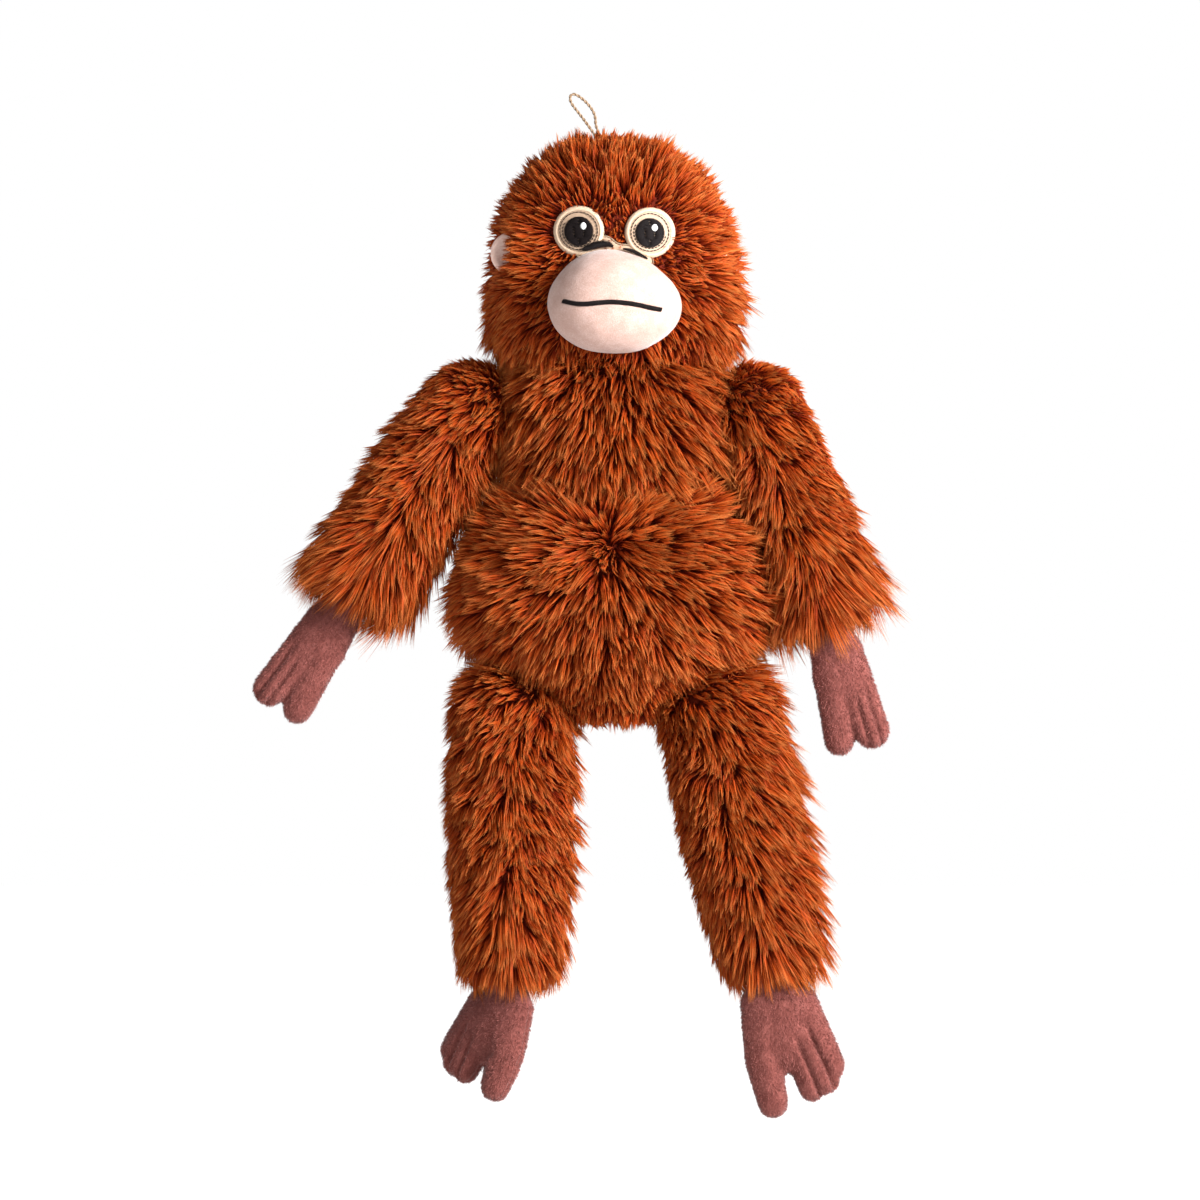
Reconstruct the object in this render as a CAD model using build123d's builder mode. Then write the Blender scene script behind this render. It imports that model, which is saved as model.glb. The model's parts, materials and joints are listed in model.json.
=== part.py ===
from build123d import *
import math
import os

# A hanging plush orangutan. The origin is where the hang loop is sewn into the crown seam.
# +Z is up, -Y is the way the face looks, +X is the animal's own left side.
# Every furry body is a closed cloth cover around a fibre filling, and the bodies meet at
# sewn seams, which are the only places where the toy bends.

os.makedirs("parts", exist_ok=True)

# ---------------------------------------------------------------- driving dimensions, mm
cloth = 2.0                # backing cloth with the dense roots of its pile
velour = 1.2               # short napped cloth of muzzle, ears, hands and feet
filling_gap = 0.3          # between a cover and the fibre filling inside it
seam_gap = 0.4             # between two stuffed bodies, over the seam that joins them
thread = 0.9               # how far embroidery and stitches stand off the cloth
end_wall = 8.0             # gathered cloth that closes the far end of a limb

head_height = 120.0
head_half_width = 64.0
head_half_depth = 54.0

chest_height = 72.0
chest_half_width = 58.0
chest_half_depth = 43.0
belly_height = 126.0
belly_half_width = 81.0
belly_half_depth = 50.0

shoulder_drop = 28.0       # shoulder centre below the neck seam
arm_length = 121.0         # shoulder centre to wrist
arm_root_radius = 24.0
armpit_x = 56.0            # inner side of the arm's ball from the middle plane
arm_belly_radius = 25.5
arm_cuff_radius = 22.5
arm_spread = {"left": 18.7, "right": 33.0}      # degrees out from straight down

hip_x = 57.0
hip_drop = 198.0           # hip centre below the neck seam
leg_length = 150.0         # hip centre to ankle
leg_root_radius = 27.0
leg_thigh_radius = 27.5
leg_cuff_radius = 21.0
leg_spread = {"left": 12.0, "right": 0.5}

thickest_share = 0.45      # how far down a limb it is thickest
cuff_gather = 0.85         # share of the ball in its far seam that a limb stops short of

hand_thickness = 16.0
hand_length = 77.0
thumb_width = 17.0
thumb_across = 9.5         # middle of the thumb, inwards of the middle of the hand
finger_width = 21.0
finger_across = 8.8
hand_tilt = {"left": 13.6, "right": 37.0}

foot_thickness = 20.0
foot_length = 79.0
toe_reach = 72.0           # ankle to the tip of the small toes
big_toe_width = 19.0
big_toe_across = 12.0
toes_width = 30.0
toes_across = 15.9
foot_tilt = {"left": 12.0, "right": 19.0}
foot_twist = {"left": 0.0, "right": 50.0}       # the right foot lies turned on its long axis
web_radius = 1.5           # cloth web between two lobes
palm_reach = 2.2           # palm centre from the joint, in radii of the joint ball
palm_gather = 0.9          # how far apart the lobes start on the palm, as a share of their tips
heel_shift = 0.4           # wrist or ankle end of the palm, in radii of the joint ball
rim_round = 0.6            # rounding of a hand or foot, as a share of half its thickness

muzzle_half_width = 38.5
muzzle_half_height = 29.5
muzzle_reach = 29.0        # how far the muzzle stands out of the face
muzzle_drop = 88.0         # muzzle centre below the crown
mouth_length = 55.0
mouth_width = 2.7

eye_x = 20.0
eye_drop = 48.5
eye_patch_radius = 15.0
eye_ring_radius = 10.4
eye_ring_width = 0.8
pupil_radius = 7.7
glint_radius = 1.6
glint_shift = 2.6          # to the left side of the animal and up
patch_thickness = 1.6
nose_patch_width = 44.0
nose_patch_height = 24.0
nose_patch_drop = 64.0
nostril_length = 16.0
nostril_width = 4.6
nostril_drop = 57.0
nostril_x = 10.0
nostril_slope = 16.0       # degrees down outwards

ear_radius = 12.5
ear_thickness = 5.0
ear_rim = 2.2              # rounding of its edge
ear_inset = 7.0            # ear centre inside the side of the head
ear_drop = 61.0
ear_forward = 18.0

twine = 1.8
closing_stitches = 9
closing_pitch = 7.0
closing_height = 0.40      # middle of the seam, as a share of the belly from its top
stitch_length = 6.0

# ---------------------------------------------------------------- outlines
# (share of the height from the top, share of the full girth)
head_outline = [(0.0, 0.16), (0.05, 0.46), (0.15, 0.70), (0.33, 0.91), (0.55, 1.0),
                (0.83, 0.98), (0.95, 0.90), (1.0, 0.78)]
chest_outline = [(0.0, 0.80), (0.15, 0.93), (0.45, 1.0), (0.80, 0.98), (1.0, 0.90)]
belly_outline = [(0.0, 0.66), (0.10, 0.82), (0.30, 0.97), (0.53, 1.0), (0.78, 0.76), (1.0, 0.26)]

neck_z = -head_height
chest_top = neck_z - seam_gap
belly_top = chest_top - chest_height


def oval_body(top, height, half_width, half_depth, outline, inset):
    """A stack of ellipses lofted into one rounded body, drawn in by inset all round."""
    with BuildPart() as body:
        for share, girth in outline:
            level = top - inset - (height - 2 * inset) * share
            with BuildSketch(Plane.XY.offset(level)):
                Ellipse(half_width * girth - inset, half_depth * girth - inset)
        loft()
    return body.part


def head_body(inset):
    return oval_body(0, head_height, head_half_width, head_half_depth, head_outline, inset)


def chest_body(inset):
    return oval_body(chest_top, chest_height, chest_half_width, chest_half_depth,
                     chest_outline, inset)


def belly_body(inset):
    return oval_body(belly_top, belly_height, belly_half_width, belly_half_depth,
                     belly_outline, inset)


def muzzle_body(inset):
    """An ellipsoid whose back half lies inside the head."""
    with BuildPart() as body:
        Sphere(1)
        scale(by=(muzzle_half_width - inset, muzzle_reach - inset, muzzle_half_height - inset))
    return Pos(0, -head_half_depth, -muzzle_drop) * body.part


def write(node, name):
    node.part.label = name
    export_step(node.part, f"parts/{name}.step")


# ---------------------------------------------------------------- joint centres
side_sign = {"left": 1, "right": -1}


def direction(side, degrees):
    """Unit vector that leaves straight down by an angle, outwards on its own side."""
    angle = math.radians(degrees)
    return Vector(side_sign[side] * math.sin(angle), 0, -math.cos(angle))


def shoulder(side):
    return Vector(side_sign[side] * (armpit_x + arm_root_radius), 0, neck_z - shoulder_drop)


def hip(side):
    return Vector(side_sign[side] * hip_x, 0, neck_z - hip_drop)


def wrist(side):
    return shoulder(side) + direction(side, arm_spread[side]) * arm_length


def ankle(side):
    return hip(side) + direction(side, leg_spread[side]) * leg_length


def paw_plane(side, centre, tilt, twist):
    """Plane of a hand or foot: x outwards along its hinge, y towards the tips."""
    reach = direction(side, tilt)
    across = reach.cross(Vector(0, side_sign[side], 0))
    across = across.rotate(Axis((0, 0, 0), tuple(reach)), -side_sign[side] * twist)
    return Plane(origin=centre, x_dir=across, z_dir=across.cross(reach))


# ---------------------------------------------------------------- head
head_outer = head_body(0)
head_cavity = head_body(cloth)

with BuildPart() as head_front_cover:
    add(head_outer)
    add(head_cavity, mode=Mode.SUBTRACT)
    split(bisect_by=Plane.XZ, keep=Keep.TOP)
write(head_front_cover, "head_front_cover")

with BuildPart() as head_back_cover:
    add(head_outer)
    add(head_cavity, mode=Mode.SUBTRACT)
    split(bisect_by=Plane.XZ, keep=Keep.BOTTOM)
write(head_back_cover, "head_back_cover")

with BuildPart() as head_stuffing:
    add(head_body(cloth + filling_gap))
write(head_stuffing, "head_stuffing")

# ---------------------------------------------------------------- muzzle and mouth
muzzle_outer = muzzle_body(0)
muzzle_cavity = muzzle_body(velour)
muzzle_filling = muzzle_body(velour + filling_gap)
muzzle_raised = muzzle_body(-thread)
head_cleared = head_body(-filling_gap)

with BuildPart() as muzzle_cover:
    add(muzzle_outer)
    add(muzzle_cavity, mode=Mode.SUBTRACT)
    add(head_outer, mode=Mode.SUBTRACT)
write(muzzle_cover, "muzzle_cover")

with BuildPart() as muzzle_stuffing:
    add(muzzle_filling)
    add(head_cleared, mode=Mode.SUBTRACT)
write(muzzle_stuffing, "muzzle_stuffing")

face_plane = Plane(origin=(0, -head_half_depth, 0), x_dir=(1, 0, 0), z_dir=(0, -1, 0))

with BuildPart() as mouth_stitching:
    with BuildSketch(face_plane):
        with Locations((0, -muzzle_drop)):
            SlotOverall(mouth_length, mouth_width)
    extrude(amount=2 * muzzle_reach)
    add(muzzle_raised, mode=Mode.INTERSECT)
    add(muzzle_outer, mode=Mode.SUBTRACT)
write(mouth_stitching, "mouth_stitching")

# ---------------------------------------------------------------- nose patch and nostrils
head_patched = head_body(-patch_thickness)
head_embroidered = head_body(-patch_thickness - thread)

with BuildPart() as nose_patch:
    with BuildSketch(face_plane):
        with Locations((0, -nose_patch_drop)):
            Ellipse(nose_patch_width / 2, nose_patch_height / 2)
    extrude(amount=head_half_depth, both=True)
    split(bisect_by=Plane.XZ, keep=Keep.TOP)
    add(head_patched, mode=Mode.INTERSECT)
    add(head_outer, mode=Mode.SUBTRACT)
    add(muzzle_outer, mode=Mode.SUBTRACT)
nose_solid = nose_patch.part
write(nose_patch, "nose_patch")

with BuildPart() as nostril_stitching:
    with BuildSketch(face_plane):
        with Locations(Location((-nostril_x, -nostril_drop), nostril_slope),
                       Location((nostril_x, -nostril_drop), -nostril_slope)):
            Ellipse(nostril_length / 2, nostril_width / 2)
    extrude(amount=head_half_depth, both=True)
    split(bisect_by=Plane.XZ, keep=Keep.TOP)
    add(head_embroidered, mode=Mode.INTERSECT)
    add(head_patched, mode=Mode.SUBTRACT)
    add(muzzle_outer, mode=Mode.SUBTRACT)
write(nostril_stitching, "nostril_stitching")

# ---------------------------------------------------------------- eyes and ears
def make_eye(side):
    eye_centre = (side_sign[side] * eye_x, -eye_drop)

    with BuildPart() as eye_patch:
        with BuildSketch(face_plane):
            with Locations(eye_centre):
                Circle(eye_patch_radius)
        extrude(amount=head_half_depth, both=True)
        split(bisect_by=Plane.XZ, keep=Keep.TOP)
        add(head_patched, mode=Mode.INTERSECT)
        add(head_outer, mode=Mode.SUBTRACT)
        add(nose_solid, mode=Mode.SUBTRACT)
        add(muzzle_outer, mode=Mode.SUBTRACT)
    write(eye_patch, f"eye_patch_{side}")

    with BuildPart() as eye_stitching:
        with BuildSketch(face_plane):
            with Locations(eye_centre):
                Circle(eye_ring_radius)
                Circle(eye_ring_radius - eye_ring_width, mode=Mode.SUBTRACT)
                Circle(pupil_radius)
            with Locations((eye_centre[0] + glint_shift, eye_centre[1] + glint_shift)):
                Circle(glint_radius, mode=Mode.SUBTRACT)
        extrude(amount=head_half_depth, both=True)
        split(bisect_by=Plane.XZ, keep=Keep.TOP)
        add(head_embroidered, mode=Mode.INTERSECT)
        add(head_patched, mode=Mode.SUBTRACT)
        add(muzzle_outer, mode=Mode.SUBTRACT)
        add(nostril_stitching.part, mode=Mode.SUBTRACT)
    write(eye_stitching, f"eye_stitching_{side}")

    with BuildPart() as eye_glint:
        with BuildSketch(face_plane):
            with Locations((eye_centre[0] + glint_shift, eye_centre[1] + glint_shift)):
                Circle(glint_radius)
        extrude(amount=head_half_depth, both=True)
        split(bisect_by=Plane.XZ, keep=Keep.TOP)
        add(head_embroidered, mode=Mode.INTERSECT)
        add(head_patched, mode=Mode.SUBTRACT)
    write(eye_glint, f"eye_glint_{side}")


def make_ear(side):
    ear_x = side_sign[side] * (head_half_width - ear_inset)
    with BuildPart() as ear:
        with BuildSketch(Plane.XZ.offset(ear_forward)):
            with Locations((ear_x, -ear_drop)):
                Circle(ear_radius)
        extrude(amount=ear_thickness)
        fillet(ear.edges(), ear_rim)
        add(head_outer, mode=Mode.SUBTRACT)
    write(ear, f"ear_{side}")


for side in side_sign:
    make_eye(side)
    make_ear(side)

# ---------------------------------------------------------------- hang loop
# Both ends are sewn side by side into the crown seam. The limp loop leans to the right side.
loop_route = [(-7, 0, 0), (-12.2, -0.4, 8.0), (-18.6, -0.2, 16.6), (-25.6, 0.2, 25.4),
              (-23.4, 0.5, 29.9), (-16.2, 0.8, 25.2), (-10.4, 1.6, 17.6), (-10.6, 2.6, 9.2),
              (-4.6, 3.0, 0)]


corner_share = 0.45        # share of the shorter run that a bend of the loop takes up


def bend_radii(route):
    """The radius at each corner that uses up its share of the shorter run beside it."""
    radii = []
    for before, corner, after in zip(route, route[1:], route[2:]):
        first = Vector(corner) - Vector(before)
        second = Vector(after) - Vector(corner)
        turn = math.radians(first.get_angle(second))
        radii.append(corner_share * min(first.length, second.length) / math.tan(turn / 2))
    return radii


loop_radii = bend_radii(loop_route)
with BuildPart() as hang_loop:
    with BuildLine() as loop_line:
        FilletPolyline(*loop_route, radius=loop_radii)
    with BuildSketch(loop_line.line ^ 0):
        Circle(twine / 2)
    sweep()
    split(bisect_by=Plane.XY, keep=Keep.TOP)
write(hang_loop, "hang_loop")
loop_length = loop_line.wires()[0].length
print("hang loop bend radii", [round(radius, 1) for radius in loop_radii])
print("hang loop length", round(loop_length, 1), "volume", round(hang_loop.part.volume, 1),
      "section x length", round(math.pi * twine ** 2 / 4 * loop_length, 1))

# ---------------------------------------------------------------- torso
def torso_clearances(grow):
    """Round sockets for the arms, and for the legs both hanging and swung forward."""
    with BuildPart() as cutter:
        for socket_side in side_sign:
            with Locations(shoulder(socket_side)):
                Sphere(arm_root_radius + grow)
            with Locations(hip(socket_side)):
                Sphere(leg_root_radius + grow)
            thigh_way = Plane(origin=hip(socket_side), x_dir=(1, 0, 0), z_dir=(0, -1, 0))
            with BuildSketch(thigh_way):
                Circle(leg_thigh_radius + grow)
            extrude(amount=2 * belly_half_depth)
    return cutter.part


socket_cut = torso_clearances(seam_gap)
socket_filling_cut = torso_clearances(seam_gap + cloth + filling_gap)
socket_cavity_cut = torso_clearances(seam_gap + cloth)


def lump_cover(outer, cavity):
    """The closed cloth round one lump of the torso, with its four sockets."""
    with BuildPart() as hollow:
        add(cavity)
        add(socket_cavity_cut, mode=Mode.SUBTRACT)
    with BuildPart() as lump:
        add(outer)
        add(socket_cut, mode=Mode.SUBTRACT)
        add(hollow.part, mode=Mode.SUBTRACT)
    return lump.part


chest_shell = lump_cover(chest_body(0), chest_body(cloth))
belly_shell = lump_cover(belly_body(0), belly_body(cloth))

with BuildPart() as chest_cover:
    add(chest_shell)
    split(bisect_by=Plane.XZ, keep=Keep.TOP)
write(chest_cover, "chest_cover")

with BuildPart() as belly_cover:
    add(belly_shell)
    split(bisect_by=Plane.XZ, keep=Keep.TOP)
write(belly_cover, "belly_cover")


def make_back(side, keep):
    with BuildPart() as back_cover:
        add(chest_shell)
        add(belly_shell)
        split(bisect_by=Plane.XZ, keep=Keep.BOTTOM)
        split(bisect_by=Plane.YZ, keep=keep)
    write(back_cover, f"back_cover_{side}")


make_back("left", Keep.TOP)
make_back("right", Keep.BOTTOM)

with BuildPart() as chest_stuffing:
    add(chest_body(cloth + filling_gap))
    add(socket_filling_cut, mode=Mode.SUBTRACT)
write(chest_stuffing, "chest_stuffing")

with BuildPart() as belly_stuffing:
    add(belly_body(cloth + filling_gap))
    add(socket_filling_cut, mode=Mode.SUBTRACT)
write(belly_stuffing, "belly_stuffing")

with BuildPart() as closing_seam:
    with BuildSketch(Plane.XZ):
        with Locations((0, belly_top - belly_height * closing_height)):
            with GridLocations(1, closing_pitch, 1, closing_stitches):
                SlotOverall(stitch_length, thread)
    extrude(amount=-2 * belly_half_depth)
    add(belly_body(-thread), mode=Mode.INTERSECT)
    add(belly_body(0), mode=Mode.SUBTRACT)
write(closing_seam, "closing_seam")


# ---------------------------------------------------------------- limbs
def limb_body(side, centre, spread, length, radii, stand_off, inset, end_inset):
    """A tapered tube around its own axis, with a ball at the seam it swings about."""
    root, middle, cuff = (radius - inset for radius in radii)
    reach = direction(side, spread)
    end = length - stand_off - end_inset
    with BuildPart() as limb:
        with BuildSketch(Plane(origin=centre, x_dir=reach, z_dir=(0, 1, 0))):
            with BuildLine():
                CenterArc((0, 0), root, 90, 90)
                Spline((0, root), (length * thickest_share, middle), (end, cuff),
                       tangents=[(1, 0), (1, -0.1)])
                Polyline((end, cuff), (end, 0), (-root, 0))
            make_face()
        revolve(axis=Axis(centre, reach))
    return limb.part


def make_limb(kind, side, centre, spread, length, radii, joint_radius):
    stand_off = joint_radius * cuff_gather
    far_joint = centre + direction(side, spread) * length
    with BuildPart() as socket:
        with Locations(far_joint):
            Sphere(joint_radius + seam_gap)

    sizes = (side, centre, spread, length, radii, stand_off)
    outer = limb_body(*sizes, 0, 0)
    cavity = limb_body(*sizes, cloth, end_wall)
    with BuildPart() as limb_cover:
        add(outer)
        add(cavity, mode=Mode.SUBTRACT)
        add(socket.part, mode=Mode.SUBTRACT)
    write(limb_cover, f"{kind}_cover_{side}")

    filling = limb_body(*sizes, cloth + filling_gap, end_wall + filling_gap)
    with BuildPart() as limb_stuffing:
        add(filling)
    write(limb_stuffing, f"{kind}_stuffing_{side}")


# ---------------------------------------------------------------- hands and feet
def paw_body(plane, thickness, lobes, inset):
    """Two rounded lobes side by side on a palm that narrows to the ball in the seam."""
    root = thickness / 2
    palm = palm_reach * root
    inner_lobe, outer_lobe = lobes
    with BuildPart() as slab:
        with BuildSketch(plane) as outline:
            with Locations((0, root * heel_shift)):
                Circle(root)
            for width, across, tip in lobes:
                with Locations((across * palm_gather, palm)):
                    Circle(width / 2)
            make_hull()
            for width, across, tip in lobes:
                reach = tip - palm + width / 2
                with Locations((across, tip - reach / 2)):
                    SlotOverall(reach, width, rotation=90)
            beyond_palm = outline.vertices().filter_by_position(Axis.Y, palm, hand_length + foot_length)
            fillet(beyond_palm.filter_by_position(Axis.X, inner_lobe[1], outer_lobe[1]), web_radius)
            offset(amount=-inset)
        extrude(amount=thickness / 2 - inset, both=True)
        rims = slab.edges().filter_by(Axis(plane.origin, plane.z_dir), reverse=True)
        fillet(rims, (thickness / 2 - inset) * rim_round)
        with Locations(plane.origin):
            Sphere(root - inset)
    return slab.part


def make_paw(kind, panels, side, plane, thickness, lobes):
    outer = paw_body(plane, thickness, lobes, 0)
    cavity = paw_body(plane, thickness, lobes, velour)
    for panel, keep in zip(panels, (Keep.TOP, Keep.BOTTOM)):
        with BuildPart() as paw_cover:
            add(outer)
            add(cavity, mode=Mode.SUBTRACT)
            split(bisect_by=plane, keep=keep)
        write(paw_cover, f"{kind}_{panel}_{side}")

    filling = paw_body(plane, thickness, lobes, velour + filling_gap)
    with BuildPart() as paw_stuffing:
        add(filling)
    write(paw_stuffing, f"{kind}_stuffing_{side}")


arm_radii = (arm_root_radius, arm_belly_radius, arm_cuff_radius)
leg_radii = (leg_root_radius, leg_thigh_radius, leg_cuff_radius)
hand_lobes = [(thumb_width, -thumb_across, hand_length), (finger_width, finger_across, hand_length)]
foot_lobes = [(big_toe_width, -big_toe_across, foot_length), (toes_width, toes_across, toe_reach)]

for side in side_sign:
    make_limb("arm", side, shoulder(side), arm_spread[side], arm_length, arm_radii, hand_thickness / 2)
    make_limb("leg", side, hip(side), leg_spread[side], leg_length, leg_radii, foot_thickness / 2)
    hand_plane = paw_plane(side, wrist(side), hand_tilt[side], 0)
    foot_plane = paw_plane(side, ankle(side), foot_tilt[side], foot_twist[side])
    make_paw("hand", ("palm", "back"), side, hand_plane, hand_thickness, hand_lobes)
    make_paw("foot", ("top", "sole"), side, foot_plane, foot_thickness, foot_lobes)
    for joint_name, centre in (("shoulder", shoulder(side)), ("hip", hip(side)),
                               ("wrist", wrist(side)), ("ankle", ankle(side))):
        print(joint_name, side, "centre", [round(value, 2) for value in tuple(centre)])
    print("wrist axis", side, [round(value, 4) for value in tuple(hand_plane.x_dir)])
    print("ankle axis", side, [round(value, 4) for value in tuple(foot_plane.x_dir)])
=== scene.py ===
# %% [markdown]
# # A hanging plush orangutan
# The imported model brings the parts, their places and their joints. This script dresses them: long
# tufted pile on dark backing cloth, velour hands, feet and muzzle, an embroidered face and a twine
# loop. Everything is in metres, +Z up, and the face looks along -Y.

# %% Load the frame
import json
import math

import bmesh
import bpy
import numpy as np
from mathutils import Matrix, Vector, noise


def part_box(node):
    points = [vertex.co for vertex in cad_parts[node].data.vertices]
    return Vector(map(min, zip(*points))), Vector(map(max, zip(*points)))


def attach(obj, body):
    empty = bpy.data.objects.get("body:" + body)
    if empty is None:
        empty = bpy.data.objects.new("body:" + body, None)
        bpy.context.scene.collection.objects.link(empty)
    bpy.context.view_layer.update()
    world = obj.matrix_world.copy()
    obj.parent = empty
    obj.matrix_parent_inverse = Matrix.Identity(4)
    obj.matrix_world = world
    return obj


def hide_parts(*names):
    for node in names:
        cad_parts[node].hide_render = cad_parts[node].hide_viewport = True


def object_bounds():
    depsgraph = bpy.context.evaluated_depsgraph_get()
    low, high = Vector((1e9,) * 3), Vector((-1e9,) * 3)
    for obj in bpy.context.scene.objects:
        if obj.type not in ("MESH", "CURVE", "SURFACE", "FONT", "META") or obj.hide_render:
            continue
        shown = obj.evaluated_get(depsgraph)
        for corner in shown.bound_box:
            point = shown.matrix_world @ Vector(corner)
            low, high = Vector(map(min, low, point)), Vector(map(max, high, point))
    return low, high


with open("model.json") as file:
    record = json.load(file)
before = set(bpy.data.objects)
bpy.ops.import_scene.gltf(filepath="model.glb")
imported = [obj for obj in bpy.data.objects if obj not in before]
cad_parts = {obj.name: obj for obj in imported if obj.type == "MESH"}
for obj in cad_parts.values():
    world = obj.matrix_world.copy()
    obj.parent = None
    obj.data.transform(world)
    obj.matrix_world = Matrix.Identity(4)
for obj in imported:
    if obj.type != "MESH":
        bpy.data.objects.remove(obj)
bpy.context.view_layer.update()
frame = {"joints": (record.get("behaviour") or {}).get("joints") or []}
MM = 0.001

# %% [markdown]
# The camera stands straight in front of the toy, a good way off, so that arms and legs keep their
# proportions. A long lens and a level view are what a catalogue picture of a hanging toy uses.

# %% Camera
VIEW_WIDTH = 0.672
CAMERA_DISTANCE = 9.0
aim = Vector((-0.008, 0.0, -0.2545))

camera_data = bpy.data.cameras.new("camera")
camera_data.sensor_width = 36.0
camera_data.lens = camera_data.sensor_width * CAMERA_DISTANCE / VIEW_WIDTH
camera = bpy.data.objects.new("camera", camera_data)
camera.location = aim + Vector((0.0, -CAMERA_DISTANCE, 0.0))
camera.rotation_euler = (math.radians(90.0), 0.0, 0.0)
bpy.context.scene.collection.objects.link(camera)
bpy.context.scene.camera = camera
print("lens", round(camera_data.lens, 1), "mm")

# %% [markdown]
# Shader maths reads best as plain expressions. This small class wraps a node socket, so that
# `1 - mask * 0.5` adds the Math nodes by itself. The same class serves Geometry Nodes, which use
# the same Math nodes.

# %% A socket that can be calculated with
class Flow:
    def __init__(self, tree, socket):
        self.tree = tree
        self.socket = socket

    def maths(self, operation, *others):
        node = self.tree.nodes.new("ShaderNodeMath")
        node.operation = operation
        for slot_number, value in enumerate((self, *others)):
            plug(self.tree, node.inputs[slot_number], value)
        return Flow(self.tree, node.outputs[0])

    def __add__(self, other):
        return self.maths("ADD", other)

    __radd__ = __add__

    def __mul__(self, other):
        return self.maths("MULTIPLY", other)

    __rmul__ = __mul__

    def __sub__(self, other):
        return self.maths("SUBTRACT", other)

    def __rsub__(self, other):
        return self.maths("MULTIPLY", -1.0).maths("ADD", other)


def plug(tree, socket, value):
    """Sets an input socket: a Flow is linked, anything else is its value."""
    if isinstance(value, Flow):
        tree.links.new(value.socket, socket)
    else:
        socket.default_value = value


class Weaver:
    """Adds nodes to one tree: a node's type, its settings, then the values of its sockets."""

    def __init__(self, tree):
        self.tree = tree

    def node(self, kind, settings=None, sockets=None, out=0):
        node = self.tree.nodes.new(kind)
        for name, value in (settings or {}).items():
            if name == "stops":
                set_ramp(node.color_ramp, value)
            else:
                setattr(node, name, value)
        for name, value in (sockets or {}).items():
            plug(self.tree, node.inputs[name], value)
        return Flow(self.tree, node.outputs[out])

    def vector(self, operation, *values, scale=None, out=0):
        node = self.tree.nodes.new("ShaderNodeVectorMath")
        node.operation = operation
        for slot_number, value in enumerate(values):
            plug(self.tree, node.inputs[slot_number], value)
        if scale is not None:
            plug(self.tree, node.inputs["Scale"], scale)
        return Flow(self.tree, node.outputs[out])

    def mix(self, factor, first, second, blend="MIX"):
        node = self.tree.nodes.new("ShaderNodeMix")
        node.data_type = "RGBA"
        node.blend_type = blend
        plug(self.tree, node.inputs[0], factor)
        plug(self.tree, node.inputs[6], first)
        plug(self.tree, node.inputs[7], second)
        return Flow(self.tree, node.outputs[2])

    def parts(self, vector):
        """x, y and z of a vector."""
        node = self.tree.nodes.new("ShaderNodeSeparateXYZ")
        plug(self.tree, node.inputs[0], vector)
        return [Flow(self.tree, socket) for socket in node.outputs]

    def noise(self, place, scale, detail, roughness=0.5, out=0):
        return self.node("ShaderNodeTexNoise", sockets={"Vector": place, "Scale": scale, "Detail": detail,
                                                        "Roughness": roughness}, out=out)

    def named(self, name, kind="FLOAT"):
        """A value kept on the mesh under a name."""
        return self.node("GeometryNodeInputNamedAttribute", {"data_type": kind}, {"Name": name})

    def keep(self, geometry, name, value, kind="FLOAT", domain="POINT"):
        """Keeps a value on the mesh under a name."""
        return self.node("GeometryNodeStoreNamedAttribute", {"data_type": kind, "domain": domain},
                         {"Geometry": geometry, "Name": name, "Value": value})

    def add(self, first, *others):
        """The sum of a vector and of other vectors, each with its own scale."""
        for vector, scale in others:
            first = self.vector("ADD", first, self.vector("SCALE", vector, scale=scale))
        return first


def set_ramp(ramp, stops):
    while len(ramp.elements) > 1:
        ramp.elements.remove(ramp.elements[-1])
    ramp.elements[0].position, ramp.elements[0].color = stops[0]
    for position, colour in stops[1:]:
        ramp.elements.new(position).color = colour


def colour(red, green, blue):
    return (red, green, blue, 1.0)


def new_material(name, roughness, **constants):
    """A material with one Principled shader. Its constants sit on the shader's own sockets."""
    material = bpy.data.materials.new(name)
    material.use_nodes = True
    tree = material.node_tree
    shader = tree.nodes["Principled BSDF"]
    shader.inputs["Roughness"].default_value = roughness
    for socket_name, value in constants.items():
        shader.inputs[socket_name.replace("_", " ").title().replace("Ior", "IOR")].default_value = value
    return material, Weaver(tree), shader


def dress(weave, shader, tone, height, strength, depth):
    """Gives a shader its colour and its fine relief."""
    bump = weave.node("ShaderNodeBump", sockets={"Strength": strength, "Distance": depth, "Height": height})
    plug(weave.tree, shader.inputs["Base Color"], tone)
    plug(weave.tree, shader.inputs["Normal"], bump)


print("helpers ready")

# %% [markdown]
# The hang loop is one thin two-ply twine. Both ends go into the crown seam, and the limp loop leans
# to one side. A NURBS curve through the route's points gives its line, and two plies wind round it.

# %% Hang loop
TWINE = 1.8 * MM
loop_route = [(-7, 0, 0), (-12.2, -0.4, 8.0), (-18.6, -0.2, 16.6), (-25.6, 0.2, 25.4),
              (-23.4, 0.5, 29.9), (-16.2, 0.8, 25.2), (-10.4, 1.6, 17.6), (-10.6, 2.6, 9.2),
              (-4.6, 3.0, 0)]


def nurbs_line(name, route):
    """Points along a smooth NURBS curve whose control points are the route's, in metres."""
    curve = bpy.data.curves.new(name, "CURVE")
    curve.dimensions = "3D"
    curve.resolution_u = 24
    spline = curve.splines.new("NURBS")
    spline.points.add(len(route) - 1)
    for point, place in zip(spline.points, route):
        point.co = (*place, 1.0)
    spline.order_u = 3
    spline.use_endpoint_u = True
    guide = bpy.data.objects.new(name, curve)
    bpy.context.scene.collection.objects.link(guide)
    mesh = bpy.data.meshes.new_from_object(guide)
    line = [vertex.co.copy() for vertex in mesh.vertices]
    bpy.data.objects.remove(guide)
    return line


def line_length(line):
    return sum((after - before).length for before, after in zip(line, line[1:]))


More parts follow.
